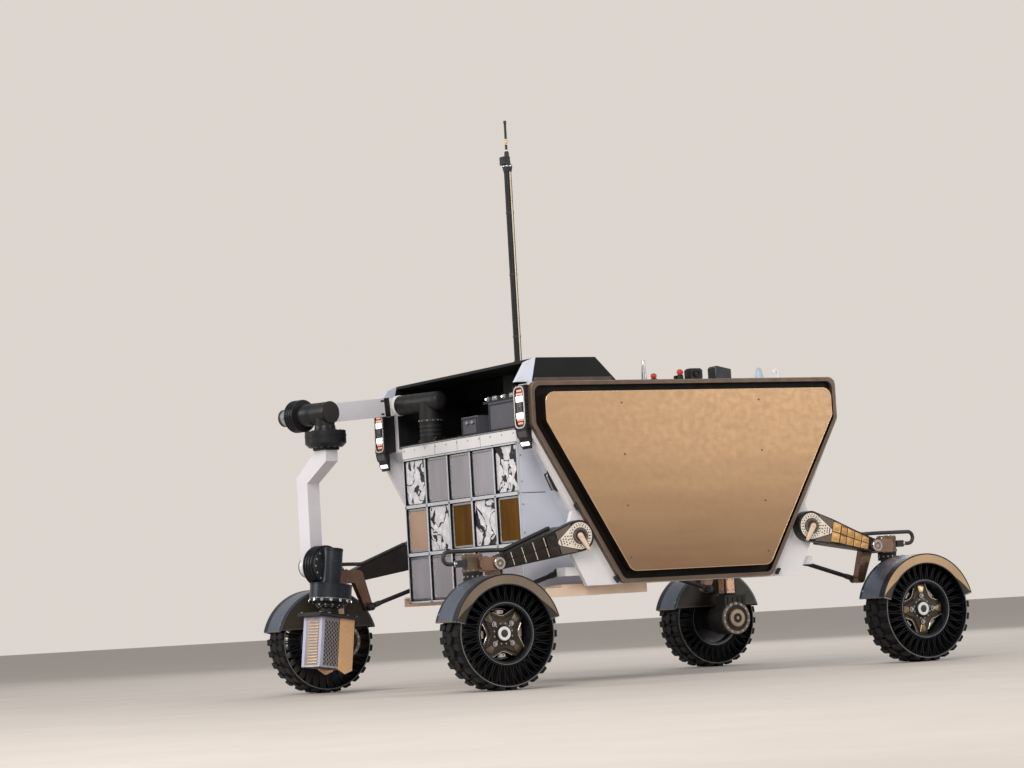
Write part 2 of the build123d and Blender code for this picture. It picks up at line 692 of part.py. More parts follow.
def make_steer_hose():
    """Along the leg's top, over the actuator and back into the connector."""
    route = [(HOSE_START_X, leg_top(HOSE_START_X)), (HOSE_LIFT_X, leg_top(HOSE_LIFT_X)), (PIN_X + PIN_R, hose_high),
             (HOSE_LOOP_X, hose_high), (HOSE_LOOP_X, hose_low), (plug_x + PLUG_L, hose_low)]
    bends = [2 * HOSE_LOOP_R, 2 * HOSE_LOOP_R, HOSE_LOOP_R - HOSE_GAP, HOSE_LOOP_R - HOSE_GAP]
    path = FilletPolyline(*[(x, HOSE_Y, z) for x, z in route], radius=bends)
    return sweep(Plane(origin=path @ 0, z_dir=path % 0) * Circle(HOSE_R), path)


def make_hose_plug():
    return block((plug_x, plug_x + PLUG_L - HOSE_GAP), (HOSE_Y - PLUG_W / 2, HOSE_Y + PLUG_W / 2),
                 (hose_low - PLUG_W / 2, hose_low + PLUG_W / 2))


nodes["steer_hoses"] = all_corners(make_steer_hose())
nodes["hose_plugs"] = all_corners(make_hose_plug())
nodes["upper_legs"] = all_corners(make_leg())
nodes["lower_rods"] = all_corners(make_lower_rod())
nodes["knuckles"] = all_corners(make_knuckle())


# Hull

def mirror_points(half):
    """A left-right outline in X and Z from its half at positive X, given from the bottom up."""
    return half + [(-x, z) for x, z in reversed(half)]


def make_hull():
    outer = [(HULL_BOTTOM_X, HULL_BOTTOM_Z), HULL_BEND, HULL_FACE, (HULL_FACE[0], DECK_Z - DECK_T)]
    inner = [(HULL_BOTTOM_X - HULL_WALL, HULL_BOTTOM_Z + HULL_WALL), (HULL_BEND[0] - HULL_WALL, HULL_BEND[1]),
             (HULL_FACE[0] - HULL_WALL, HULL_FACE[1] + HULL_WALL / 2), (HULL_FACE[0] - HULL_WALL, DECK_Z)]
    tub = side_prism(polygon(mirror_points(outer)), -PLATE_Y0, PLATE_Y0)
    tub -= side_prism(polygon(mirror_points(inner)), HULL_WALL - PLATE_Y0, PLATE_Y0 - HULL_WALL)
    bay_half = BAY_HALF + BAY_WALL + CLEAR
    bay = block((BAY_BACK_X - BAY_WALL - CLEAR, PLATE_TOP_X), (-bay_half, bay_half),
                (BAND_TOP_Z - CLEAR, DECK_Z))
    rack = block((RACK_BACK_X - CLEAR, PLATE_TOP_X), (-RACK_HALF - CLEAR, RACK_HALF + CLEAR),
                 (0, BAND_TOP_Z))
    return tub - bay - rack


def lamp_pockets():
    """The space at the front corners that the lamp housings take up, between the bay and the side plates."""
    pocket = block((LAMP_BACK_X, LAMP_X), (BAY_HALF + BAY_WALL, PLATE_Y0), (HULL_FACE[1], DECK_Z + 1))
    return Compound(children=both_sides(pocket))


def make_side_plate():
    half = [(PLATE_BOTTOM_X, PLATE_BOTTOM_Z), (PLATE_LUG_X, PLATE_LUG_Z), (PLATE_LUG_X + 30, PIVOT_Z),
            (PIVOT_X + 8, PIVOT_Z + 150),
            (PLATE_TOP_X, PLATE_BEND_Z), (PLATE_TOP_X, DECK_Z - DECK_T)]
    plate = side_prism(polygon(mirror_points(half)), PLATE_Y0, PLATE_Y1)
    lug_y = ROD_Y + ROD_EYE_W / 2
    for sign in (1, -1):
        lug = block(sorted((sign * (ROD_X0 - LUG_REACH), sign * (ROD_X0 + ROD_EYE_R))), (lug_y, PLATE_Y0 + 1),
                    (ROD_Z0 - ROD_EYE_R, ROD_Z0 + ROD_EYE_R))
        plate += lug
    return plate


nodes["hull"] = make_hull()
nodes["side_plates"] = both_sides(make_side_plate())


def deck_holes():
    """Four bolt holes through the deck and the payload plate on it."""
    holes = []
    for x in (-DECK_HOLES[0] / 2, DECK_HOLES[0] / 2):
        for y in (-DECK_HOLES[1] / 2, DECK_HOLES[1] / 2):
            holes.append(rod((DECK_HOLES_X + x, y, DECK_Z - DECK_T - 1), (DECK_HOLES_X + x, y, DECK_Z + PAD_T + 1),
                             DECK_HOLE_R))
    return Compound(children=holes)


def make_deck():
    deck = block((-PLATE_TOP_X, PLATE_TOP_X), (-PLATE_Y1, PLATE_Y1), (DECK_Z - DECK_T, DECK_Z))
    deck -= block((BAY_BACK_X - BAY_WALL, PLATE_TOP_X + 1), (-BAY_HALF - BAY_WALL, BAY_HALF + BAY_WALL),
                  (0, DECK_Z + 1))
    deck -= lamp_pockets()
    deck -= deck_holes()
    return deck


def make_payload_plate():
    half_x, half_y = DECK_HOLES[0] / 2 + PAD_EDGE, DECK_HOLES[1] / 2 + PAD_EDGE
    plate = block((DECK_HOLES_X - half_x, DECK_HOLES_X + half_x), (-half_y, half_y), (DECK_Z, DECK_Z + PAD_T))
    return plate - deck_holes()


nodes["deck"] = make_deck()
nodes["payload_plate"] = make_payload_plate()


# Small pieces on the deck

def on_deck(x, radius, height):
    return rod((x, DECK_ITEM_Y, DECK_Z), (x, DECK_ITEM_Y, DECK_Z + height), radius)


def make_switch(x, foot_r, foot_h, head_r, head_h):
    head = rod((x, DECK_ITEM_Y, DECK_Z + foot_h - 1), (x, DECK_ITEM_Y, DECK_Z + head_h), head_r)
    return on_deck(x, foot_r, foot_h) + head


def make_deck_sensors():
    x0, x1, width, height = CAMERA
    camera = block((x0, x1), (DECK_ITEM_Y - width / 2, DECK_ITEM_Y + width / 2), (DECK_Z, DECK_Z + height))
    x0, x1, width, height = RECEIVER
    outline = polygon([(x0, DECK_Z), (x0, DECK_Z + height * 0.76), (x1 - (x1 - x0) / 9, DECK_Z + height),
                       (x1, DECK_Z + height * 0.87), (x1, DECK_Z)])
    return [camera, side_prism(outline, DECK_ITEM_Y - width / 2, DECK_ITEM_Y + width / 2)]


def make_deck_fittings():
    x, low_r, high_r, height = BEACON
    beacon = Pos(x, DECK_ITEM_Y, DECK_Z) * Cone(low_r, high_r, height, align=CENTRE_MIN)
    x, foot_r, foot_h, pipe_r, pipe_h = VENT
    return [beacon, on_deck(x, foot_r, foot_h) + on_deck(x, pipe_r, pipe_h)]


nodes["deck_controls"] = [make_switch(*row) for row in SWITCHES]
nodes["deck_sensors"] = make_deck_sensors()
nodes["deck_fittings"] = make_deck_fittings()


# Side panels

def panel_outline(inset):
    """The side panel's outline, drawn in by an equal width all round."""
    slope = atan2(PANEL_BEND_Z - PANEL_LOW_Z, PANEL_TOP_X - PANEL_LOW_X)
    low_x = PANEL_LOW_X - inset * (1 / sin(slope) - 1 / (sin(slope) / cos(slope)))
    bend_z = PANEL_BEND_Z + inset * (1 / cos(slope) - sin(slope) / cos(slope))
    half = [(low_x, PANEL_LOW_Z + inset), (PANEL_TOP_X - inset, bend_z), (PANEL_TOP_X - inset, PANEL_TOP_Z - inset)]
    face = polygon(mirror_points(half))
    return fillet(face.vertices(), PANEL_CORNER_R - inset * CORNER_SHARE)


def make_panel_frame():
    back = side_prism(panel_outline(0), PLATE_Y1, PLATE_Y1 + PANEL_BACK_T)
    rim = side_prism(panel_outline(0) - panel_outline(PANEL_RIM), PLATE_Y1 + PANEL_BACK_T - 1, PANEL_Y1)
    return back + rim


def make_panel_core():
    """The dark box that holds the sheet proud of the tray."""
    return side_prism(panel_outline(SHEET_INSET + CORE_STEP), PLATE_Y1 + PANEL_BACK_T, SHEET_Y - SHEET_T)


def make_panel_sheet():
    return side_prism(panel_outline(SHEET_INSET), SHEET_Y - SHEET_T, SHEET_Y)


nodes["panel_frames"] = both_sides(make_panel_frame())
nodes["panel_cores"] = both_sides(make_panel_core())
nodes["panel_sheets"] = both_sides(make_panel_sheet())


# Payload rack: an open lattice of bars with a locker door or foil tile in each cell

def rack_z(row):
    """The height of the lattice bar below a row, counted from the bottom."""
    return RACK_TOP_Z - (RACK_ROWS - row) * RACK_ROW_H


def rack_cell(column, row):
    """The lattice opening of a column, counted from the left, and a row from the bottom."""
    pitch = 2 * RACK_HALF / RACK_COLUMNS
    left = RACK_HALF - column * pitch
    half_bar = RACK_BAR / 2
    y1 = left - (RACK_WALL if column == 0 else half_bar)
    y0 = left - pitch + (RACK_WALL if column == RACK_COLUMNS - 1 else half_bar)
    return (y0, y1), (rack_z(row) + half_bar, rack_z(row + 1) - half_bar)


def make_rack_frame():
    shell = block((RACK_BACK_X, RACK_X), (-RACK_HALF, RACK_HALF), (rack_z(0), RACK_TOP_Z))
    shell -= block((RACK_BACK_X + RACK_WALL, RACK_X - RACK_BAR_DEPTH),
                   (RACK_WALL - RACK_HALF, RACK_HALF - RACK_WALL), (rack_z(0) + RACK_WALL, RACK_TOP_Z - RACK_WALL))
    for row in range(RACK_ROWS):
        for column in range(RACK_COLUMNS):
            y, z = rack_cell(column, row)
            seat = RACK_X - DOOR_SINK - DOOR_T - DOOR_SEAT
            shell -= block((seat, RACK_X + 1), y, z)
            shell -= block((RACK_X - RACK_BAR_DEPTH - 1, seat + 1), (y[0] + DOOR_LAP, y[1] - DOOR_LAP),
                           (z[0] + DOOR_LAP, z[1] - DOOR_LAP))
    return shell


# Each row of the rack from the bottom, and in it each cell from the left:
# d is a grey door, t is a foil tile, g is a gold door, b is a beige door
RACK_FILL = ("ddddd", "gtgtb", "tdddt")


def make_rack_cell(column, row):
    y, z = rack_cell(column, row)
    width, height = y[1] - y[0] - 2 * DOOR_GAP, z[1] - z[0] - 2 * DOOR_GAP
    centre = (RACK_X - DOOR_SINK, (y[0] + y[1]) / 2, (z[0] + z[1]) / 2)
    plane = Plane(origin=centre, x_dir=(0, 1, 0), z_dir=(-1, 0, 0))
    return extrude(plane * RectangleRounded(width, height, DOOR_CORNER_R), DOOR_T)


nodes["rack_frame"] = make_rack_frame()
for kind, name in (("d", "rack_doors"), ("t", "rack_tiles"), ("g", "rack_gold_doors"), ("b", "rack_beige_door")):
    nodes[name] = [make_rack_cell(column, row) for row, cells in enumerate(RACK_FILL)
                   for column, cell in enumerate(cells) if cell == kind]

nodes["front_beam"] = block((RACK_X - BAND_DEPTH, RACK_X), (-RACK_HALF, RACK_HALF), (RACK_TOP_Z, BAND_TOP_Z))


# Lower rails, along both sides of the rack
rail = block((RAIL_REAR_X, RAIL_X), (RAIL_Y0, RAIL_Y1), (RAIL_Z0, HULL_BOTTOM_Z))
nodes["front_rails"] = both_sides(rail)


# Arm bay and canopy

def make_arm_bay():
    outer = block((BAY_BACK_X - BAY_WALL, RACK_X), (-BAY_HALF - BAY_WALL, BAY_HALF + BAY_WALL),
                  (BAND_TOP_Z, DECK_Z))
    return outer - block((BAY_BACK_X, RACK_X + 1), (-BAY_HALF, BAY_HALF), (BAND_TOP_Z + BAY_WALL, DECK_Z + 1))


def make_canopy():
    outline = polygon([(CANOPY_REAR_X, DECK_Z), (CANOPY_REAR_TOP_X, CANOPY_TOP_Z), (CANOPY_FRONT_X, CANOPY_TOP_Z),
                       (CANOPY_FRONT_X + CANOPY_LEAN, DECK_Z)])
    lift = CANOPY_T * 1.4
    inside = polygon([(CANOPY_REAR_X + lift, DECK_Z - 1), (CANOPY_REAR_TOP_X + lift / 3, CANOPY_TOP_Z - CANOPY_T),
                      (CANOPY_FRONT_X + CANOPY_LEAN + 4, CANOPY_TOP_Z - CANOPY_T),
                      (CANOPY_FRONT_X + CANOPY_LEAN + 4, DECK_Z - 1)])
    half = CANOPY_HALF - CANOPY_SIDE_T
    hood = side_prism(outline, -CANOPY_HALF, CANOPY_HALF) - side_prism(inside, -half, half)
    notch = MAST_FOOT_W / 2 + CLEAR
    return hood - block((0, MAST_X + MAST_FOOT_L / 2 + CLEAR), (-notch, notch), (0, CANOPY_TOP_Z + 1))


def make_canopy_cheek():
    """The pale corner piece in front of the canopy's side."""
    outline = polygon([(CANOPY_FRONT_X + CLEAR, CANOPY_TOP_Z), CHEEK_TOP, CHEEK_LOW,
                       (CANOPY_FRONT_X + CANOPY_LEAN + CLEAR, CHEEK_LOW[1]),
                       (CANOPY_FRONT_X + CANOPY_LEAN + CLEAR, DECK_Z + 1)])
    return side_prism(outline, CANOPY_HALF - CANOPY_SIDE_T, CANOPY_HALF)


nodes["arm_bay"] = make_arm_bay()
nodes["canopy"] = make_canopy()
nodes["canopy_cheeks"] = both_sides(make_canopy_cheek())


# Equipment in the bay, beside the arm's base
bay_floor_z = BAND_TOP_Z + BAY_WALL
bay_boxes = [block((BAY_BOX_X0, BAY_BOX_X1), (middle - width / 2, middle + width / 2), (bay_floor_z, bay_floor_z + height))
             for middle, width, height in BAY_BOXES]
shelf_y, _, shelf_rise = BAY_BOXES[0]
shelf_z = bay_floor_z + shelf_rise
bay_boxes[0] += block((BAY_BOX_X1 - SHELF_L, BAY_BOX_X1), (shelf_y - SHELF_W / 2, shelf_y + SHELF_W / 2),
                      (shelf_z - 1, shelf_z + SHELF_T))
nodes["bay_boxes"] = bay_boxes

# Cover plate on the rear face
nodes["rear_cover"] = block((-HULL_FACE[0] - REAR_COVER_T, -HULL_FACE[0]), (-REAR_COVER_W / 2, REAR_COVER_W / 2),
                            (HULL_FACE[1] + REAR_COVER_EDGE, DECK_Z - DECK_T - REAR_COVER_EDGE))

# Pull handles on the slanted front faces, left and right of the rack
slant = atan2(HULL_BEND[1] - HULL_BOTTOM_Z, HULL_BEND[0] - HULL_BOTTOM_X)
on_slant = HULL_BOTTOM_X + (HANDLE_Z - HULL_BOTTOM_Z) / tan(slant)
grip = (Location((on_slant, HANDLE_Y, HANDLE_Z), (0, 90 - degrees(slant), 0)) * Pos(DOOR_SEAT, 0, 0)
        * Box(HANDLE_T, HANDLE_W, HANDLE_H, align=(Align.MIN, Align.CENTER, Align.CENTER)))
nodes["front_handles"] = both_sides(grip)


# Lamps at the front corners

def make_lamp_housing():
    low_z = LAMP_Z - LAMP_H / 2
    outer_y = PLATE_Y1 - CLEAR
    upper = block((LAMP_BACK_X, LAMP_X), (LAMP_Y0, outer_y), (low_z, LAMP_Z + LAMP_H / 2))
    upper -= block((0, PLATE_TOP_X + CLEAR), (PLATE_Y0 - CLEAR, outer_y + 1), (0, DECK_Z))
    flood = side_prism(polygon([(PLATE_TOP_X + CLEAR, low_z + 1), (LAMP_X, low_z + 1), (LAMP_X - FLOOD_LIP, low_z - FLOOD_FACE),
                                (PLATE_TOP_X + CLEAR, low_z - FLOOD_H)]),
                       LAMP_Y - FLOOD_W / 2, LAMP_Y + FLOOD_W / 2)
    return upper + flood - make_lamp_pocket()


def lamp_face(edge, front, depth):
    """The rounded face of a lamp, drawn in by an edge, from a place in front of the housing."""
    plane = Plane(origin=(LAMP_X + front, LAMP_Y, LAMP_Z), x_dir=(0, 1, 0), z_dir=(-1, 0, 0))
    outline = RectangleRounded(LAMP_FACE_W - 2 * edge, LAMP_H - LAMP_FACE_EDGE - 2 * edge, LAMP_FACE_R - edge)
    return extrude(plane * outline, depth)


def make_lamp_pocket():
    return lamp_face(0, 1, LAMP_FACE_T + 1)


def make_lamp_face():
    """The lens with its four light cells and the round eye of a camera between them."""
    front = LAMP_X + LAMP_FACE_OUT
    face = lamp_face(CLEAR, LAMP_FACE_OUT, LAMP_FACE_T + LAMP_FACE_OUT)
    for dy in (-LAMP_CELL_Y, LAMP_CELL_Y):
        for dz in (-LAMP_CELL_Z, LAMP_CELL_Z):
            y, z = LAMP_Y + dy, LAMP_Z + dz
            face += block((front - 1, front + LAMP_CELL_OUT), (y - LAMP_CELL[0] / 2, y + LAMP_CELL[0] / 2),
                          (z - LAMP_CELL[1] / 2, z + LAMP_CELL[1] / 2))
    return face + rod((front - 1, LAMP_Y, LAMP_Z), (front + 2 * LAMP_CELL_OUT, LAMP_Y, LAMP_Z), LAMP_EYE_R)


nodes["lamp_housings"] = both_sides(make_lamp_housing())
nodes["lamp_faces"] = both_sides(make_lamp_face())


# Mast and antenna

foot_top = CANOPY_TOP_Z + MAST_FOOT_UP
nodes["mast"] = (block((MAST_X - MAST_FOOT_L / 2, MAST_X + MAST_FOOT_L / 2), (-MAST_FOOT_W / 2, MAST_FOOT_W / 2),
                       (DECK_Z, foot_top))
                 + rod((MAST_X, 0, BAND_TOP_Z + BAY_WALL), (MAST_X, 0, DECK_Z + 1), MAST_POST_R)
                 + rod((MAST_X, 0, CANOPY_TOP_Z), (MAST_X, 0, foot_top + COLLAR_UP), MAST_COLLAR_R)
                 + rod((MAST_X, 0, CANOPY_TOP_Z), (MAST_X, 0, MAST_TOP_Z), MAST_R))
head_x = MAST_X + HEAD_SHIFT
nodes["antenna"] = (block((head_x - HEAD_W / 2, head_x + HEAD_W / 2), (-HEAD_W / 2, HEAD_W / 2),
                          (MAST_TOP_Z, MAST_TOP_Z + HEAD_H))
                    + rod((MAST_X, 0, MAST_TOP_Z), (MAST_X, 0, MAST_TOP_Z + WHIP_L), WHIP_R)
                    + rod((MAST_X, 0, MAST_TOP_Z + HEAD_H), (MAST_X, 0, MAST_TOP_Z + HEAD_H + WHIP_BAND_H),
                          WHIP_BAND_R))


# Arm

def make_arm_base():
    plate = arm_frame(0, 0, BAND_TOP_Z + BAY_WALL) * Box(ARM_PLATE, ARM_PLATE, ARM_PLATE_T, align=CENTRE_MIN)
    plate &= block((0, RACK_X), (-BAY_HALF, BAY_HALF), (0, DECK_Z))
    column = upright_drum(0, 0, BAND_TOP_Z + BAY_WALL, ARM_TURN_Z, ARM_BASE_R)
    column -= block((RACK_X, RACK_X + 2 * ARM_BASE_R), (ARM_Y - 2 * ARM_BASE_R, ARM_Y + 2 * ARM_BASE_R),
                    (0, BAND_TOP_Z + BAY_WALL + 1))
    return plate + column


def make_shoulder():
    post = upright_drum(0, 0, ARM_TURN_Z + JOINT_GAP, SHOULDER_Z, ARM_BASE_R)
    ring_u = LINK_U + LINK_T / 2
    drum = lateral(0, SHOULDER_Z, ring_u + JOINT_GAP, ARM_BASE_R + SHOULDER_END, SHOULDER_R)
    return post + drum


def lateral_fins(v, z, u0, u1, radius):
    """Cooling fins round a drum, at an even pitch along it."""
    pitch = (u1 - u0) / FIN_COUNT
    starts = [u0 + pitch * (i + (1 - FIN_SHARE) / 2) for i in range(FIN_COUNT)]
    return [lateral(v, z, u, u + pitch * FIN_SHARE, radius + FIN_OUT) for u in starts]


def make_upper_link():
    rise = SHOULDER_Z - ELBOW_Z
    u0, u1 = LINK_U - LINK_T / 2, LINK_U + LINK_T / 2
    beam_len = hypot(TOOL_V, rise)
    pitch = degrees(atan2(rise, TOOL_V))
    middle = on_arm(TOOL_V / 2, LINK_U, (SHOULDER_Z + ELBOW_Z) / 2)
    beam = Location(middle, (0, 0, ARM_AZ)) * Rot(0, pitch, 0) * Box(beam_len, LINK_T, LINK_H)
    root_hub = lateral(0, SHOULDER_Z, u0, u1, LINK_H / 2)
    motor = lateral(0, SHOULDER_Z, u0 - MOTOR_LEN, u0 + 1, MOTOR_R)
    elbow_hub = lateral(TOOL_V, ELBOW_Z, u0 - BARREL_NECK, u1, ELBOW_R)
    return beam + root_hub + motor + elbow_hub


def make_elbow_barrel():
    u0 = LINK_U - LINK_T / 2 - BARREL_NECK
    barrel = lateral(TOOL_V, ELBOW_Z, u0 - BARREL_LEN, u0, BARREL_R)
    end = lateral(TOOL_V, ELBOW_Z, u0 - BARREL_LEN - END_LEN, u0 - BARREL_LEN + 1, END_R)
    return barrel + end + lateral_fins(TOOL_V, ELBOW_Z, u0 - BARREL_LEN, u0, BARREL_R)


def make_forearm():
    u1 = TOOL_U + ELBOW_NEAR
    u0 = LINK_U + LINK_T / 2 + JOINT_GAP
    drum = lateral(TOOL_V, ELBOW_Z, u0, u1, ELBOW_R)
    neck = upright_drum(TOOL_V, TOOL_U, ROLL_TOP_Z - 1, ELBOW_Z, NECK_R)
    disc = upright_drum(TOOL_V, TOOL_U, ROLL_FACE_Z, ROLL_TOP_Z, ROLL_R)
    return drum + neck + disc


def arm_profile(points, half):
    """An outline in u and Z, extruded half to each side along v, at the tool's place."""
    a = radians(ARM_AZ)
    plane = Plane(origin=on_arm(TOOL_V - half, 0, 0), x_dir=(-sin(a), cos(a), 0), z_dir=(cos(a), sin(a), 0))
    return extrude(plane * polygon(points), 2 * half)


def make_drop_link():
    flange = upright_drum(TOOL_V, TOOL_U, ROLL_LOW_Z, ROLL_FACE_Z - JOINT_GAP, ROLL_R)
    flange = chamfer(flange.faces().sort_by(Axis.Z)[0].edges(), ROLL_CHAMFER)
    near, far = TOOL_U + DROP_W / 2, TOOL_U - DROP_W / 2
    shape = [(near, ROLL_LOW_Z + 1), (near, DROP_IN_Z[0]), (near - DROP_SHIFT, DROP_IN_Z[1]),
             (near - DROP_SHIFT, WRIST_Z), (far - DROP_SHIFT, WRIST_Z), (far - DROP_SHIFT, DROP_OUT_Z[1]),
             (far, DROP_OUT_Z[0]), (far, ROLL_LOW_Z + 1)]
    leg = arm_profile(shape, DROP_W / 2)
    hub_drum = lateral(TOOL_V, WRIST_Z, far - DROP_SHIFT, near - DROP_SHIFT, DROP_END_R)
    return flange + leg + hub_drum


def make_wrist():
    u0 = TOOL_U + DROP_W / 2 - DROP_SHIFT + JOINT_GAP
    drum = lateral(TOOL_V, WRIST_Z, u0, u0 + WRIST_LEN, WRIST_R)
    turner = upright_drum(TOOL_V, TOOL_U, TURNER_DISC_Z[1] - 1, WRIST_Z + TURNER_TOP, TURNER_R)
    disc = upright_drum(TOOL_V, TOOL_U, TURNER_DISC_Z[0], TURNER_DISC_Z[1], TURNER_DISC_R)
    return drum + lateral_fins(TOOL_V, WRIST_Z, u0, u0 + WRIST_LEN, WRIST_R) + turner + disc


def make_tool_mount():
    flange = upright_drum(TOOL_V, TOOL_U, TOOL_NECK_Z, TURNER_DISC_Z[0] - JOINT_GAP, TOOL_FLANGE_R)
    neck = upright_drum(TOOL_V, TOOL_U, TOOL_PLATE_Z + TOOL_PLATE_T - 1, TOOL_NECK_Z + 1, TOOL_NECK_R)
    plate = arm_frame(TOOL_V, TOOL_U, TOOL_PLATE_Z) * Box(*TOOL_PLATE, TOOL_PLATE_T, align=CENTRE_MIN)
    return flange + neck + plate


def make_scoop():
    length = SCOOP_V[1] - SCOOP_V[0]
    middle = (SCOOP_V[0] + SCOOP_V[1]) / 2
    frame = arm_frame(TOOL_V, TOOL_U, TOOL_PLATE_Z - SCOOP_H)
    outer = Pos(middle, 0, 0) * Box(length, 2 * SCOOP_HALF_U, SCOOP_H, align=CENTRE_MIN)
    inner = Pos(middle, 0, -1) * Box(length - 2 * SCOOP_WALL, 2 * (SCOOP_HALF_U - SCOOP_WALL), SCOOP_H - SCOOP_WALL,
                                     align=CENTRE_MIN)
    pitch = SCOOP_H / (LOUVRE_COUNT + 1)
    width = 2 * (SCOOP_HALF_U - 2 * SCOOP_WALL)
    slat = Box(2 * LOUVRE_OUT, width, pitch * LOUVRE_SHARE, align=CENTRE_MIN)
    louvres = [Pos(SCOOP_V[0], 0, pitch * (i + 0.5)) * slat for i in range(LOUVRE_COUNT)]
    return frame * ((outer + louvres) - inner)


def make_blades():
    top = BLADE_H
    v0, v1 = BLADE_V
    shape = polygon([(v0, top), (v0, BLADE_POINT), ((v0 + v1) / 2, 0), (v1, BLADE_POINT), (v1, top)])
    frame = arm_frame(TOOL_V, TOOL_U, TOOL_PLATE_Z - BLADE_H)
    blades = []
    for sign in (1, -1):
        y1 = SCOOP_HALF_U + BLADE_GAP + BLADE_T if sign > 0 else -SCOOP_HALF_U - BLADE_GAP
        blades.append(frame * side_prism(shape, y1 - BLADE_T, y1))
    return blades


nodes["arm_base"] = make_arm_base()
nodes["shoulder"] = make_shoulder()
nodes["upper_link"] = make_upper_link()
nodes["elbow_barrel"] = make_elbow_barrel()
nodes["forearm"] = make_forearm()
nodes["drop_link"] = make_drop_link()
nodes["wrist"] = swung_out(make_wrist())
nodes["tool_mount"] = swung_out(make_tool_mount())
nodes["scoop"] = swung_out(make_scoop())
nodes["scoop_blades"] = [swung_out(blade) for blade in make_blades()]


# Write each node, moved to the finished origin

def write_nodes():
    os.makedirs("parts", exist_ok=True)
    for name, shape in nodes.items():
        pieces = shape if isinstance(shape, list) else [shape]
        solids = [solid for piece in pieces for solid in piece.solids()]
        whole = solids[0] if len(solids) == 1 else Compound(children=solids)
        export_step(Pos(-ORIGIN_X, 0, 0) * whole, "parts/" + name + ".step")


write_nodes()
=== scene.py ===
import json
import math
import bmesh
import bpy
from mathutils import Matrix, Vector


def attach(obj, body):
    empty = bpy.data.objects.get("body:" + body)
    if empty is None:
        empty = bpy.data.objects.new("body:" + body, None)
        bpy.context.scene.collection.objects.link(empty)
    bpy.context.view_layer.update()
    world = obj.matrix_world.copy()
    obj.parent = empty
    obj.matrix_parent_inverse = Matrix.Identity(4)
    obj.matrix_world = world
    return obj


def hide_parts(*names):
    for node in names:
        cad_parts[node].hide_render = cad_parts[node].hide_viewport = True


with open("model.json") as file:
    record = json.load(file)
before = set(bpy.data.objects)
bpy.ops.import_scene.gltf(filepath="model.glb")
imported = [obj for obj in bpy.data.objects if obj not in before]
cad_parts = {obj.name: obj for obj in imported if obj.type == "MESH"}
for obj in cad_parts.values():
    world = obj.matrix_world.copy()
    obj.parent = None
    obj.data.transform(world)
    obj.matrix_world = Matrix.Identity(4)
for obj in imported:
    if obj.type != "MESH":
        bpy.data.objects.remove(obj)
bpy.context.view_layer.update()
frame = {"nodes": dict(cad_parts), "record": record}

# Places are written in metres from mid-wheelbase, on the ground; SHIFT takes them to the row frame.
AXLE_X, WHEEL_Y, AXLE_Z = 1.503, 1.2375, 0.330
joints = {j["name"]: j for j in frame["record"]["behaviour"]["joints"]}
SHIFT = joints["spin_fl"]["pos_m"][0] - AXLE_X
CORNERS = {"fl": (1, 1), "fr": (1, -1), "rl": (-1, 1), "rr": (-1, -1)}
X, Y, Z = Vector((1, 0, 0)), Vector((0, 1, 0)), Vector((0, 0, 1))
O = Vector((0, 0, 0))
TURN = 2 * math.pi
scene = bpy.context.scene


# Camera and light

def make_camera():
    right = Vector((-0.8772, 0.4769, -0.0565)).normalized()
    ahead = Vector((-0.4800, -0.8738, 0.0778)).normalized()
    up = right.cross(ahead).normalized()
    data = bpy.data.cameras.new("camera")
    data.sensor_width, data.lens, data.clip_end = 36.0, 105.23, 200.0
    cam = bpy.data.objects.new("camera", data)
    turn = Matrix((right, up, -ahead)).transposed()
    cam.matrix_world = Matrix.Translation((9.8079 + SHIFT, 16.6906, 0.4176)) @ turn.to_4x4()
    scene.collection.objects.link(cam)
    scene.camera = cam


def make_light(name, place, size, power, color=(1, 1, 1)):
    """A soft rectangle of light that looks at the vehicle's middle."""
    data = bpy.data.lights.new(name, "AREA")
    data.shape, data.size, data.size_y, data.energy, data.color = "RECTANGLE", *size, power, color
    lamp = bpy.data.objects.new(name, data)
    turn = (Z - Vector(place)).to_track_quat("-Z", "Y").to_matrix()
    lamp.matrix_world = Matrix.Translation(place) @ turn.to_4x4()
    scene.collection.objects.link(lamp)


def make_world():
    """Even pale light, with a slightly warmer background for the camera."""
    world = bpy.data.worlds.new("world")
    world.use_nodes = True
    scene.world = world
    tree = world.node_tree
    tree.nodes.clear()
    mix = tree.nodes.new("ShaderNodeMixShader")
    for slot, color, strength in ((1, (0.86, 0.83, 0.80, 1), 0.55), (2, (0.80, 0.74, 0.69, 1), 0.9)):
        sky = tree.nodes.new("ShaderNodeBackground")
        sky.inputs["Color"].default_value = color
        sky.inputs["Strength"].default_value = strength
        tree.links.new(sky.outputs["Background"], mix.inputs[slot])
    path = tree.nodes.new("ShaderNodeLightPath")
    out = tree.nodes.new("ShaderNodeOutputWorld")
    tree.links.new(path.outputs["Is Camera Ray"], mix.inputs["Fac"])
    tree.links.new(mix.outputs["Shader"], out.inputs["Surface"])


make_camera()
scene.view_settings.view_transform = "Standard"
make_light("key", (9, 9, 9), (7, 7), 1150, (1.0, 0.97, 0.93))
make_light("fill", (-9, 11, 5), (8, 6), 420, (0.95, 0.97, 1.0))
make_light("front", (12, -6, 6), (6, 6), 420, (1.0, 0.98, 0.96))
make_light("back", (-8, -10, 7), (8, 6), 380)
make_world()


# Materials

DUST, DUST_TOP = (0.42, 0.31, 0.24), 0.7
INK = (0.018, 0.018, 0.022)


def node(tree, kind, **values):
    made = tree.nodes.new("ShaderNode" + kind)
    for key, value in values.items():
        if key in made.inputs:
            made.inputs[key].default_value = value
        else:
            setattr(made, key, value)
    return made


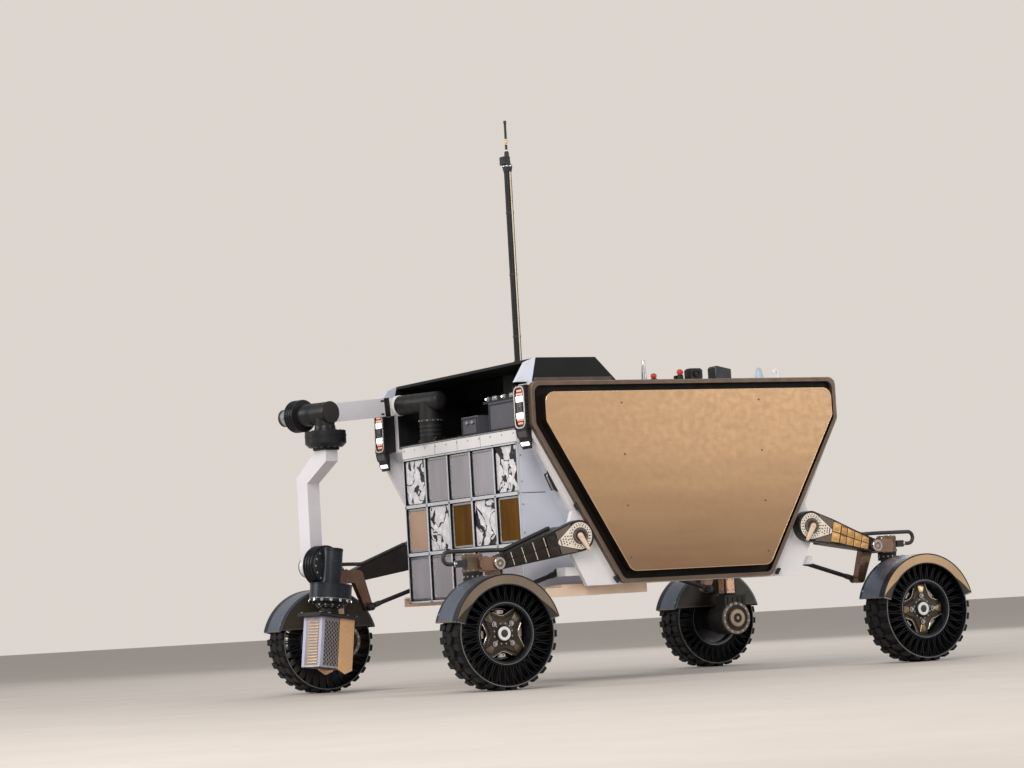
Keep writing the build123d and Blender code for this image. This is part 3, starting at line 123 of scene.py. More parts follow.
def noise(tree, coords, scale, detail=4.0, stretch=(1, 1, 1)):
    mapping = node(tree, "Mapping", Scale=stretch)
    made = node(tree, "TexNoise", Scale=scale, Detail=detail, Roughness=0.55)
    tree.links.new(coords, mapping.inputs["Vector"])
    tree.links.new(mapping.outputs["Vector"], made.inputs["Vector"])
    return made.outputs["Fac"]


def spread(tree, value, low, high, start=0.35, end=0.65):
    made = node(tree, "MapRange", **{"From Min": start, "From Max": end, "To Min": low, "To Max": high})
    tree.links.new(value, made.inputs["Value"])
    return made.outputs["Result"]


def blend_color(tree, fac, a, b):
    made = node(tree, "Mix", data_type="RGBA")
    tree.links.new(fac, made.inputs["Factor"])
    for slot, value in ((6, a), (7, b)):
        if isinstance(value, tuple):
            made.inputs[slot].default_value = (*value, 1)
        else:
            tree.links.new(value, made.inputs[slot])
    return made.outputs[2]


def calc(tree, operation, a, b):
    """A maths node on two links."""
    made = node(tree, "Math", operation=operation)
    tree.links.new(a, made.inputs[0])
    tree.links.new(b, made.inputs[1])
    return made.outputs["Value"]


def height_of(tree, coords):
    made = tree.nodes.new("ShaderNodeSeparateXYZ")
    tree.links.new(coords, made.inputs["Vector"])
    return made.outputs["Z"]


def open_up(made):
    """A material's tree, its shader and a new coordinate link."""
    tree = made.node_tree
    return tree, tree.nodes["Principled BSDF"], tree.nodes.new("ShaderNodeTexCoord").outputs["Object"]


materials = {}


def material(name, color, other, rough=0.5, metal=0.0, scale=6.0, stretch=(1, 1, 1), rough_spread=0.12,
             bump=0.0, bump_scale=90.0, bump_stretch=None, depth=0.002, dust=0.0, coat=0.0, level=0.5):
    """A shader with two colours mixed by noise, uneven gloss, a fine bump and dust that thins with height."""
    made = bpy.data.materials.new(name)
    made.use_nodes = True
    tree, shader, coords = open_up(made)
    tone = spread(tree, noise(tree, coords, scale, stretch=stretch), 0.0, 1.0)
    base = blend_color(tree, tone, color, other)
    if dust:
        low = spread(tree, height_of(tree, coords), dust, 0.0, 0.0, DUST_TOP)
        patch = spread(tree, noise(tree, coords, 5.0, 6.0), 0.25, 1.0, 0.35, 0.7)
        base = blend_color(tree, calc(tree, "MULTIPLY", low, patch), base, DUST)
    tree.links.new(base, shader.inputs["Base Color"])
    for key, value in (("Metallic", metal), ("Coat Weight", coat), ("Specular IOR Level", level)):
        shader.inputs[key].default_value = value
    half = rough_spread / 2
    gloss = spread(tree, noise(tree, coords, scale * 4, stretch=stretch), max(0.02, rough - half),
                   min(1.0, rough + half))
    tree.links.new(gloss, shader.inputs["Roughness"])
    if bump:
        bumps = node(tree, "Bump", Strength=bump, Distance=depth)
        tree.links.new(noise(tree, coords, bump_scale, 3.0, bump_stretch or stretch), bumps.inputs["Height"])
        tree.links.new(bumps.outputs["Normal"], shader.inputs["Normal"])
    materials[name] = made
    return made


def glow(name, color, strength):
    made = material(name, color, tuple(c * 0.8 for c in color), 0.25, scale=40.0)
    shader = made.node_tree.nodes["Principled BSDF"]
    shader.inputs["Emission Color"].default_value = (*color, 1)
    shader.inputs["Emission Strength"].default_value = strength


def make_gold_sheet(high=(0.47, 0.29, 0.155), low=(0.175, 0.098, 0.052), z0=0.52, z1=1.38):
    """A satin skin with painted shade that deepens towards its foot, and faint level mottling."""
    made = material("gold_sheet", high, low, 0.36, 0.72, bump=0.05, bump_scale=22,
                    bump_stretch=(0.6, 0.6, 5), depth=0.003)
    tree, shader, coords = open_up(made)
    add = node(tree, "Math", operation="MULTIPLY_ADD")
    add.inputs[1].default_value = (z1 - z0) * 0.5
    tree.links.new(noise(tree, coords, 2.2, 5.0, (0.35, 0.35, 2.2)), add.inputs[0])
    tree.links.new(height_of(tree, coords), add.inputs[2])
    # Painted shade: the tone runs from high at the top to low at the foot.
    quarter = (z1 - z0) * 0.25
    tone = spread(tree, add.outputs["Value"], 0.0, 1.0, z0 + quarter, z1 + quarter)
    base = blend_color(tree, tone, low, high)
    fine = spread(tree, noise(tree, coords, 7.0, 6.0, (0.5, 0.5, 2.5)), 0.0, 0.24, 0.4, 0.7)
    tree.links.new(blend_color(tree, fine, base, tuple(c * 0.72 for c in high)), shader.inputs["Base Color"])


def make_foil():
    """Crinkled silver foil with soft dark marbling in no particular figure."""
    made = material("foil_tile", (0.90, 0.89, 0.93), (0.78, 0.78, 0.84), 0.30, 0.25, 8, bump=0.6,
                    bump_scale=26, depth=0.006)
    tree, shader, coords = open_up(made)
    warp = node(tree, "TexNoise", Scale=3.0, Detail=2.0)
    tree.links.new(coords, warp.inputs["Vector"])
    push = node(tree, "VectorMath", operation="MULTIPLY_ADD")
    push.inputs[1].default_value = (0.30, 0.30, 0.30)
    tree.links.new(warp.outputs["Color"], push.inputs[0])
    tree.links.new(coords, push.inputs[2])
    marks = []
    for figure, start, end in ((node(tree, "TexNoise", Scale=9.0, Detail=1.5, Roughness=0.4), 0.575, 0.590),
                               (node(tree, "TexWave", Scale=7.0, Distortion=9.0, Detail=2.0), 0.955, 0.97)):
        tree.links.new(push.outputs["Vector"], figure.inputs["Vector"])
        marks.append(spread(tree, figure.outputs["Fac"], 0.0, 1.0, start, end))
    silver = shader.inputs["Base Color"].links[0].from_socket
    tree.links.new(blend_color(tree, calc(tree, "MAXIMUM", *marks), silver, INK), shader.inputs["Base Color"])


material("rubber", (0.0035, 0.0035, 0.0045), (0.007, 0.007, 0.008), 0.58, bump=0.35, bump_scale=160,
         level=0.2)
material("tread", (0.0045, 0.0045, 0.0055), (0.010, 0.009, 0.010), 0.55, scale=14, bump=0.5,
         bump_scale=120, level=0.22)
material("vane", (0.006, 0.006, 0.007), (0.010, 0.010, 0.011), 0.36, bump=0.12, bump_scale=140, level=0.3)
material("spider", (0.040, 0.032, 0.025), (0.070, 0.055, 0.040), 0.34, 0.7, 9, bump=0.12, bump_scale=60)
material("rim_dark", (0.009, 0.010, 0.013), (0.014, 0.015, 0.019), 0.34, 0.3, bump=0.1)
material("chrome", (0.72, 0.71, 0.70), (0.60, 0.58, 0.56), 0.16, 1.0, rough_spread=0.08)
material("steel", (0.55, 0.55, 0.56), (0.42, 0.42, 0.43), 0.32, 0.95, 12, bump=0.08)
material("white_cap", (0.80, 0.80, 0.79), (0.72, 0.71, 0.69), 0.35, coat=0.3)
material("gear_dark", (0.018, 0.018, 0.019), (0.036, 0.033, 0.030), 0.42, 0.3, bump=0.25, bump_scale=70,
         level=0.35)
material("copper", (0.27, 0.165, 0.115), (0.19, 0.115, 0.080), 0.30, 0.8, 8, bump=0.012, bump_scale=40)
material("copper_dark", (0.10, 0.062, 0.043), (0.065, 0.042, 0.032), 0.42, 0.6, bump=0.15)
material("black", (0.010, 0.010, 0.011), (0.017, 0.016, 0.017), 0.45, 0.0, bump=0.10, bump_scale=110,
         level=0.3)
material("black_satin", (0.011, 0.012, 0.015), (0.017, 0.018, 0.022), 0.30, 0.1, 3, rough_spread=0.1,
         bump=0.05, level=0.32)
material("charcoal", (0.030, 0.031, 0.034), (0.045, 0.045, 0.047), 0.5, 0.2, bump=0.12, level=0.35)
material("white", (0.84, 0.83, 0.84), (0.77, 0.76, 0.78), 0.36, scale=3, rough_spread=0.14, bump=0.05,
         bump_scale=30, coat=0.25)
material("white_low", (0.80, 0.81, 0.87), (0.72, 0.73, 0.80), 0.40, scale=3.5, bump=0.06, bump_scale=30)
material("rack_white", (0.62, 0.65, 0.72), (0.55, 0.58, 0.64), 0.4, scale=2.5, bump=0.05, bump_scale=25)
material("fender", (0.135, 0.160, 0.215), (0.105, 0.125, 0.170), 0.30, 0.5, 4, bump=0.03, bump_scale=30)
material("fender_lip", (0.235, 0.180, 0.130), (0.185, 0.140, 0.100), 0.36, 0.5, 5, bump=0.04)
material("bronze", (0.150, 0.100, 0.070), (0.115, 0.078, 0.055), 0.42, 0.5, 4, bump=0.08, bump_scale=50)
material("leg", (0.022, 0.018, 0.016), (0.036, 0.030, 0.026), 0.40, 0.35, 7, bump=0.12, bump_scale=60,
         level=0.35)
material("waffle", (0.70, 0.40, 0.14), (0.56, 0.31, 0.11), 0.34, 0.45, 10, bump=0.04, bump_scale=50)
material("waffle_dark", (0.020, 0.015, 0.012), (0.032, 0.024, 0.018), 0.40, 0.3, 12, bump=0.10,
         bump_scale=60, level=0.3)
material("silver", (0.66, 0.66, 0.67), (0.55, 0.55, 0.56), 0.30, 0.9, 8, bump=0.06)
material("door_grey", (0.43, 0.41, 0.46), (0.36, 0.345, 0.385), 0.42, 0.25, 3, stretch=(1, 2, 0.4),
         bump=0.05, bump_scale=40, level=0.4)
material("door_gold", (0.140, 0.060, 0.0004), (0.085, 0.033, 0.001), 0.46, 0.0, 5, stretch=(1, 3, 0.35),
         bump=0.12, bump_scale=30, bump_stretch=(1, 3, 0.4), level=0.1)
material("door_beige", (0.50, 0.34, 0.24), (0.43, 0.28, 0.20), 0.42, 0.1, 3, bump=0.05)
material("dark_gap", (0.010, 0.010, 0.011), (0.016, 0.016, 0.016), 0.6, level=0.1)
material("arm_white", (0.80, 0.79, 0.84), (0.74, 0.73, 0.79), 0.34, scale=2.5, rough_spread=0.12,
         bump=0.03, bump_scale=25, coat=0.3)
material("red", (0.55, 0.035, 0.022), (0.42, 0.025, 0.018), 0.35)
material("pale_blue", (0.46, 0.55, 0.66), (0.40, 0.48, 0.58), 0.35)
material("hose", (0.020, 0.020, 0.021), (0.035, 0.034, 0.033), 0.5, bump=0.3, bump_scale=180)
material("glass_dark", (0.012, 0.013, 0.016), (0.02, 0.021, 0.025), 0.08, rough_spread=0.03, coat=0.6)
glow("led_white", (1.0, 0.98, 0.95), 1.6)
glow("led_red", (0.95, 0.36, 0.28), 0.55)
glow("led_orange", (0.95, 0.42, 0.32), 0.55)
# Pale grey for the line along the tyre band's edges.
material("pale_line", (0.17, 0.165, 0.16), (0.12, 0.115, 0.11), 0.6, scale=20)
material("rim_edge", (0.26, 0.26, 0.27), (0.20, 0.20, 0.21), 0.35, 0.6, 12)
# Painted highlight colour for the star's edges.
material("spider_edge", (0.74, 0.66, 0.56), (0.50, 0.42, 0.33), 0.25, 0.85, 25)
material("brass", (0.66, 0.47, 0.26), (0.50, 0.34, 0.18), 0.30, 0.85, 18, bump=0.08)
material("cast_pale", (0.74, 0.69, 0.66), (0.50, 0.43, 0.36), 0.30, 0.6, 14, bump=0.12)
material("fender_band", (0.008, 0.010, 0.016), (0.014, 0.017, 0.025), 0.34, 0.2, 6, bump=0.05, level=0.35)
material("beige_bright", (0.78, 0.70, 0.56), (0.66, 0.58, 0.45), 0.40, scale=8)
make_gold_sheet()
material("gold_edge_highlight", (0.66, 0.46, 0.29), (0.56, 0.38, 0.23), 0.30, 0.6, 3)
material("bronze_edge", (0.23, 0.165, 0.120), (0.17, 0.12, 0.088), 0.36, 0.6, 3)
make_foil()
material("perforated", (0.58, 0.58, 0.60), (0.47, 0.47, 0.49), 0.34, 0.85, 10, bump=0.06)
material("lavender", (0.50, 0.50, 0.64), (0.43, 0.43, 0.56), 0.36, 0.2, 5)
material("seam", (0.10, 0.10, 0.11), (0.14, 0.14, 0.15), 0.6)
material("light_box", (0.74, 0.77, 0.88), (0.66, 0.69, 0.80), 0.40, 0.05, 3, bump=0.04)
material("tan", (0.46, 0.33, 0.22), (0.36, 0.26, 0.18), 0.40, 0.5, 6, bump=0.08)
material("olive", (0.075, 0.062, 0.045), (0.045, 0.040, 0.034), 0.48, 0.3, 5, bump=0.12, dust=0.3)
material("blade_gold", (0.84, 0.53, 0.29), (0.74, 0.45, 0.24), 0.30, 0.30, 4, rough_spread=0.1, bump=0.012,
         bump_scale=18)
material("disc_blue", (0.026, 0.030, 0.040), (0.038, 0.042, 0.054), 0.24, 0.55, 4, rough_spread=0.08,
         bump=0.04)
material("pad_gold", (0.46, 0.34, 0.20), (0.30, 0.21, 0.12), 0.30, 0.8, 18, bump=0.08)
material("pad_dark", (0.11, 0.088, 0.066), (0.20, 0.155, 0.11), 0.32, 0.75, 22, bump=0.08)
material("peach", (0.82, 0.50, 0.32), (0.70, 0.41, 0.25), 0.30, 0.6, 6, bump=0.02)
material("scoop_grey", (0.33, 0.31, 0.33), (0.26, 0.24, 0.26), 0.36, 0.55, 8, bump=0.05)
material("cap_brown", (0.030, 0.027, 0.025), (0.042, 0.038, 0.035), 0.45, 0.2, 6, bump=0.06, level=0.3)
material("box_grey", (0.125, 0.125, 0.150), (0.095, 0.095, 0.115), 0.36, 0.15, 3, bump=0.04)
material("tan_box", (0.20, 0.145, 0.092), (0.14, 0.10, 0.065), 0.38, 0.4, 6, bump=0.10)
material("cream", (0.83, 0.63, 0.47), (0.74, 0.55, 0.40), 0.42, 0.1, 5, bump=0.06)
material("cream_plate", (0.86, 0.77, 0.66), (0.78, 0.69, 0.58), 0.40, 0.1, 7, bump=0.05)
material("web_grey", (0.15, 0.115, 0.088), (0.11, 0.084, 0.064), 0.42, 0.3, 8, bump=0.08)
material("canopy_black", (0.010, 0.010, 0.010), (0.014, 0.014, 0.014), 0.50, 0.0, 3, rough_spread=0.06,
         bump=0.03, level=0.16)
material("canopy_foot", (0.085, 0.058, 0.043), (0.065, 0.044, 0.033), 0.42, 0.3, 4, bump=0.05)
material("lip_gold", (0.56, 0.38, 0.22), (0.45, 0.30, 0.17), 0.34, 0.55, 6, bump=0.08)
material("shield_dark", (0.060, 0.050, 0.036), (0.026, 0.022, 0.017), 0.36, 0.4, 3, bump=0.06)
material("tan_line", (0.26, 0.19, 0.135), (0.19, 0.14, 0.10), 0.36, 0.5, 9)
material("red_dark", (0.10, 0.012, 0.008), (0.07, 0.009, 0.006), 0.32)
material("groove", (0.014, 0.010, 0.008), (0.009, 0.007, 0.006), 0.6, scale=3, bump=0.03, level=0.15)


# Mesh tools

def ways(u, v, count, start=0.0):
    """Directions in the plane of u and v, evenly spaced from u."""
    return [u * math.cos(a) + v * math.sin(a) for a in (start + TURN * k / count for k in range(count))]


def around(axis, count):
    """Directions square to an axis, evenly spaced."""
    side = axis.orthogonal().normalized()
    return ways(side, axis.cross(side), count)


def rounded_rect(width, height, radius, steps=5):
    points = []
    for cx, cy, start in ((1, 1, 0), (-1, 1, 90), (-1, -1, 180), (1, -1, 270)):
        for i in range(steps + 1):
            a = math.radians(start + 90 * i / steps)
            points.append((cx * (width / 2 - radius) + radius * math.cos(a),
                           cy * (height / 2 - radius) + radius * math.sin(a)))
    return points


def neighbours(points, i):
    return (Vector(points[(i + k) % len(points)]) for k in (-1, 0, 1))


def inset(points, amount):
    """An outline drawn in by an amount along its corner bisectors."""
    made = []
    area = sum(a[0] * b[1] - b[0] * a[1] for a, b in zip(points, points[1:] + points[:1]))
    side = 1 if area > 0 else -1
    for i in range(len(points)):
        a, b, c = neighbours(points, i)
        n1 = Vector((-(b - a).y, (b - a).x)).normalized() * side
        n2 = Vector((-(c - b).y, (c - b).x)).normalized() * side
        n = n1 + n2
        n = n.normalized() / max(0.35, n.normalized().dot(n1)) if n.length > 1e-6 else n1
        made.append(tuple(b + n * amount))
    return made


def round_outline(points, radius, steps=8):
    """A polygon with its corners rounded."""
    made = []
    for i in range(len(points)):
        a, b, c = neighbours(points, i)
        u, v = (a - b).normalized(), (c - b).normalized()
        half = u.angle(v) / 2
        reach = radius / math.tan(half)
        middle = b + (u + v).normalized() * (radius / math.sin(half))
        start, end = b + u * reach - middle, b + v * reach - middle
        swing = start.angle_signed(end)
        made += [tuple(middle + Matrix.Rotation(-swing * k / steps, 2) @ start) for k in range(steps + 1)]
    return made


def loft(bm, rings, foot=True, loop=False):
    """Joins rings of points, given in order, into one skin: capped at its ends, or joined in a loop."""
    made = [[bm.verts.new(p) for p in ring] for ring in rings]
    for a, b in zip(made, made[1:] + made[:1] if loop else made[1:]):
        for i in range(len(a)):
            j = (i + 1) % len(a)
            bm.faces.new((a[i], a[j], b[j], b[i]))
    if loop:
        return
    if foot:
        bm.faces.new(made[0][::-1])
    bm.faces.new(made[-1])


def raised(points, origin, u, v, height):
    """An outline in u and v at origin, at a height along u x v."""
    return [origin + u * p[0] + v * p[1] + u.cross(v) * height for p in points]


def plate(bm, outline, origin, u, v, depth, edge=0.001, base=0.0):
    """An outline raised from base to depth, with a chamfered front edge."""
    levels = [(outline, base), (outline, depth - edge)]
    if edge:
        levels.append((inset(outline, edge), depth))
    u, v = u.normalized(), v.normalized()
    loft(bm, [raised(line, Vector(origin), u, v, height) for line, height in levels])


def ring_band(bm, outer, inner, origin, u, v, low, high, edge=0.0):
    """A flat ring between two outlines with as many points, raised from low to high."""
    levels = [(outer, low), (outer, high - edge)]
    if edge:
        levels += [(inset(outer, edge), high), (inset(inner, -edge), high)]
    levels += [(inner, high - edge), (inner, low)]
    loft(bm, [raised(line, Vector(origin), u, v, height) for line, height in levels], loop=True)


def rect_band(bm, outer, inner, *rest):
    """A ring between two rounded rectangles, each given as width, height and corner radius."""
    ring_band(bm, rounded_rect(*outer), rounded_rect(*inner), *rest)


def prism(bm, points, low, high):
    """A flat shape in space, given depth from low to high."""
    loft(bm, [[p + low for p in points], [p + high for p in points]])


def block(bm, centre, size, edge=0.002, turn=None):
    """A box with chamfered edges."""
    cube = bmesh.ops.create_cube(bm, size=1.0)["verts"]
    turn = turn.to_4x4() if turn else Matrix.Identity(4)
    place = Matrix.Translation(centre) @ turn @ Matrix.Diagonal((*size, 1))
    bmesh.ops.transform(bm, matrix=place, verts=cube)
    if edge:
        edges = list({e for v in cube for e in v.link_edges})
        bmesh.ops.bevel(bm, geom=edges, offset=min(edge, min(size) * 0.3), segments=2, affect="EDGES")


def turned(bm, profile, origin, axis, steps=48):
    """A turned piece: profile gives (distance along the axis, radius) from end to end, or round a ring."""
    origin, axis = Vector(origin), Vector(axis).normalized()
    rings = [[origin + axis * along + way * max(radius, 1e-5) for way in around(axis, steps)]
             for along, radius in profile]
    closed = profile[0] == profile[-1]
    loft(bm, rings[:-1] if closed else rings, loop=closed)


def hoop(height, low, high, inner, edge=0.001):
    """A ring's profile, with its outer edges chamfered from high to low."""
    return [(0, low), (edge, high), (height - edge, high), (height, low), (height, inner), (0, inner),
            (0, low)]


def drum(bm, start, end, radius, edge=0.002, steps=40):
    way = Vector(end) - Vector(start)
    edge = min(edge, radius * 0.4, way.length * 0.4)
    turned(bm, [(0, radius - edge), (edge, radius), (way.length - edge, radius), (way.length, radius - edge)],
           start, way, steps)


def bolt(bm, place, axis, radius=0.006, height=0.005):
    """A hexagon head on a washer."""
    turned(bm, [(-0.002, radius * 1.35), (0.0012, radius * 1.35), (0.0012, radius * 1.3)], place, axis, 16)
    turned(bm, [(0, radius), (height * 0.8, radius), (height, radius * 0.86)], place, axis, 6)


def bolts(bm, places, axis, radius, height):
    for place in places:
        bolt(bm, place, axis, radius, height)


def bolt_ring(bm, centre, ring, reach, radius, height, axis=None):
    """Bolts round a centre, along an axis or else each along its own way out."""
    for way in ring:
        bolt(bm, Vector(centre) + way * reach, axis or way, radius, height)


def screw(bm, place, axis, radius=0.007, height=0.003):
    """A round head with a sunk socket."""
    turned(bm, [(-0.001, radius), (height * 0.7, radius), (height, radius * 0.8), (height, radius * 0.45),
                (height * 0.3, radius * 0.42), (height * 0.3, 0.0001)], place, axis, 18)


def tube(bm, points, radius, steps=12):
    """A round tube along points, with bends taken from their directions."""
    points = [Vector(p) for p in points]
    up = Vector((0.21, 0.31, 0.93)).normalized()
    rings = []
    for i, p in enumerate(points):
        way = (points[min(i + 1, len(points) - 1)] - points[max(i - 1, 0)]).normalized()
        side = way.cross(up).normalized()
        rings.append([p + out * radius for out in ways(side, side.cross(way), steps)])
    loft(bm, rings)


# Piece makers: each stands above, or is called with, a build function whose name is the piece's name.
# What is built stands at the front left, and the others are mirrored from it.

def piece(name, bm, mat, body, sx=1, sy=1, smooth=38.0, stand_for=()):
    """Turns a bmesh into a piece in the row frame that rides on its body."""
    bmesh.ops.recalc_face_normals(bm, faces=bm.faces)
    move = Matrix.Translation((SHIFT, 0, 0)) @ Matrix.Diagonal((sx, sy, 1, 1))
    bmesh.ops.transform(bm, matrix=move, verts=bm.verts)
    if sx * sy < 0:
        bmesh.ops.reverse_faces(bm, faces=bm.faces)
    for face in bm.faces:
        face.smooth = True
    for edge in bm.edges:
        if len(edge.link_faces) == 2 and edge.calc_face_angle(0.0) > math.radians(smooth):
            edge.smooth = False
    mesh = bpy.data.meshes.new(name)
    bm.to_mesh(mesh)
    bm.free()
    mesh.materials.append(materials[mat])
    made = bpy.data.objects.new(name, mesh)
    scene.collection.objects.link(made)
    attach(made, body)
    if stand_for:
        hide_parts(*stand_for)


def single(mat, body="chassis", stand_for=(), smooth=38.0):
    def make(build):
        bm = bmesh.new()
        build(bm)
        piece(build.__name__, bm, mat, body, smooth=smooth, stand_for=stand_for)
        return build
    return make


def sides(mat, stand_for=()):
    """One piece a side: the left one stands for the CAD nodes that it replaces."""
    def make(build):
        for sy, word in ((1, "left"), (-1, "right")):
            bm = bmesh.new()
            build(bm)
            piece(f"{build.__name__}_{word}", bm, mat, "chassis", 1, sy,
                  stand_for=stand_for if sy > 0 else ())
        return build
    return make


def corners(mat, body="chassis", stand_for=(), which="fl fr rl rr"):
    """One piece a corner, whose name fills the {}."""
    def make(build):
        for corner in which.split():
            bm = bmesh.new()
            build(bm)
            piece(f"{build.__name__}_{corner}", bm, mat, body.format(corner), *CORNERS[corner],
                  stand_for=[name.format(corner) for name in stand_for])
        return build
    return make


def named(name, build):
    build.__name__ = name
    return build


def lathe(name, origin, axis, steps, *profiles):
    """A build function of turned parts that share an origin."""
    def build(bm):
        for profile in profiles:
            turned(bm, profile, origin, axis, steps)
    return named(name, build)


def dress(mat, *names):
    """Gives carried-over CAD nodes their material."""
    for name in names:
        data = frame["nodes"][name].data
        data.materials.clear()
        data.materials.append(materials[mat])


def soften(width, *names):
    for name in names:
        made = frame["nodes"][name].modifiers.new("soft edges", "BEVEL")
        made.width, made.segments, made.limit_method, made.angle_limit = width, 2, "ANGLE", math.radians(40)
        made.harden_normals = False


# Wheels: y runs outwards from a wheel's middle

VANES, PITCHES = 64, 26
FACE_Y = 0.052
HUB_FACE = FACE_Y - 0.004
WHEEL = "wheel_{}"


def hub_at(y):
    return Vector((AXLE_X, WHEEL_Y + y, AXLE_Z))


def out_at(angle):
    """The way out from a wheel's middle at an angle from the top towards the front."""
    return Vector((math.sin(angle), 0, math.cos(angle)))


def wheel_at(radius, angle, y):
    return hub_at(y) + out_at(angle) * radius


corners("rubber", WHEEL, ("tyre_{}",))(lathe("tyre_band", hub_at(0), Y, 96, [
    (-0.113, 0.300), (-0.1135, 0.306), (-0.110, 0.3125), (-0.100, 0.315), (0.100, 0.315), (0.110, 0.3125),
    (0.1135, 0.306), (0.113, 0.300), (0.095, 0.2985), (-0.095, 0.2985), (-0.113, 0.300)], [
    (-0.093, 0.1815), (-0.0945, 0.189), (-0.090, 0.193), (0.090, 0.193), (0.0945, 0.189), (0.093, 0.1815),
    (-0.093, 0.1815)]))


@corners("pale_line", WHEEL)
def tyre_band_line(bm):
    """The pale line along the band's outer edges."""
    for y in (-0.1139, 0.1139):
        low, high = y - 0.0012, y + 0.0012
        turned(bm, [(low, 0.3045), (high, 0.3045), (high, 0.3095), (low, 0.3095), (low, 0.3045)], hub_at(0),
               Y, 96)


@corners("vane", WHEEL)
def tyre_vanes(bm):
    """Thin curved vanes between the band and the bead."""
    thick, steps = 0.0017, 7
    for i in range(VANES):
        rows = []
        for k in range(steps + 1):
            t = k / steps
            lean = 0.030 * math.sin(math.pi * t) * (1 if i % 2 else -1) + 0.04 * (t - 0.5)
            rows.append((0.191 + t * 0.110, TURN * i / VANES + lean, 0.098 - 0.010 * math.sin(math.pi * t)))
        ring = [(r, a - thick / r, h) for r, a, h in rows] + [(r, a + thick / r, h) for r, a, h in rows[::-1]]
        loft(bm, [[wheel_at(r, a, sign * h) for r, a, h in ring] for sign in (-1, 1)])


@corners("tread", WHEEL)
def tyre_tread(bm):
    """Zigzag centre blocks and shoulder blocks that step over the band's edge."""
    pitch = TURN / PITCHES
    shoulder = [(0.04, 0.1145), (0.56, 0.1145), (0.60, 0.066), (0.42, 0.040), (0.10, 0.050), (0.00, 0.078)]
    centre = [(0.10, 0.030), (0.44, 0.034), (0.92, 0.014), (0.98, -0.026), (0.62, -0.034), (0.12, -0.012)]
    for i in range(PITCHES):
        for shape, offset, sign in ((shoulder, 0.0, 1), (shoulder, 0.5, -1), (centre, 0.2, 1)):
            points = [((i + offset + s) * pitch, y * sign) for s, y in shape]
            a0, y0 = (sum(p[k] for p in points) / len(points) for k in (0, 1))
            loft(bm, [[wheel_at(radius, a0 + (a - a0) * share, y0 + (y - y0) * share) for a, y in points]
                      for radius, share in ((0.3115, 1.0), (0.3265, 0.97), (0.3300, 0.90))], foot=False)
            if shape is shoulder:
                inner, foot, top = ([wheel_at(radius, (i + offset + s) * pitch, sign * y) for s in (0.07,
                                                                                                    0.53)]
                                    for radius, y in ((0.3005, 0.1127), (0.3005, 0.1145), (0.322, 0.1145)))
                loft(bm, [inner + top[::-1], foot + top[::-1]])


corners("rim_dark", WHEEL, ("hub_{}",))(named("rim", lambda bm: [
    turned(bm, [(-0.094, 0.166), (-0.097, 0.172), (-0.096, 0.1808), (-0.088, 0.1802), (0.088, 0.1802),
                (0.096, 0.1808), (0.098, 0.174), (0.094, 0.166), (0.070, 0.1635), (-0.070, 0.1635),
                (-0.094, 0.166)], hub_at(0), Y, 96),
    turned(bm, [(-0.052, 0.060), (-0.048, 0.060), (-0.034, 0.120), (-0.040, 0.1645), (-0.046, 0.1645),
                (-0.040, 0.120), (-0.052, 0.060)], hub_at(0), Y, 64)]))
corners("rim_edge", WHEEL)(lathe("rim_line", hub_at(0), Y, 96, *[
    [(sign * y, r) for y, r in ((0.0965, 0.1770), (0.0985, 0.1782), (0.0985, 0.1808), (0.0965, 0.1815),
                                (0.0965, 0.1770))] for sign in (-1, 1)]))


def star(reach, valley, width, turn, steps=9):
    """A four-pointed outline in Z and X with hollow sides and blunt points."""
    points = []
    blunt = width / reach
    for q in range(4):
        base = TURN / 4 * q - turn
        points += [(base + a, r) for a, r in ((-blunt, reach * 0.992), (0.0, reach), (blunt, reach * 0.992))]
        for k in range(1, steps):
            t = k / steps
            points.append((base + blunt + (TURN / 4 - 2 * blunt) * t,
                           reach - (reach - valley) * math.sin(math.pi * t) ** 0.85))
    return [(r * math.sin(a), r * math.cos(a)) for a, r in points]


def wheel_plate(bm, outline, y0, y1, edge):
    plate(bm, outline, hub_at(y0), Z, X, y1 - y0, edge)


def arms(turn):
    """The four arms' ways out and across."""
    return [(out_at(a), out_at(a + TURN / 4)) for a in (TURN / 4 * q + turn for q in range(4))]


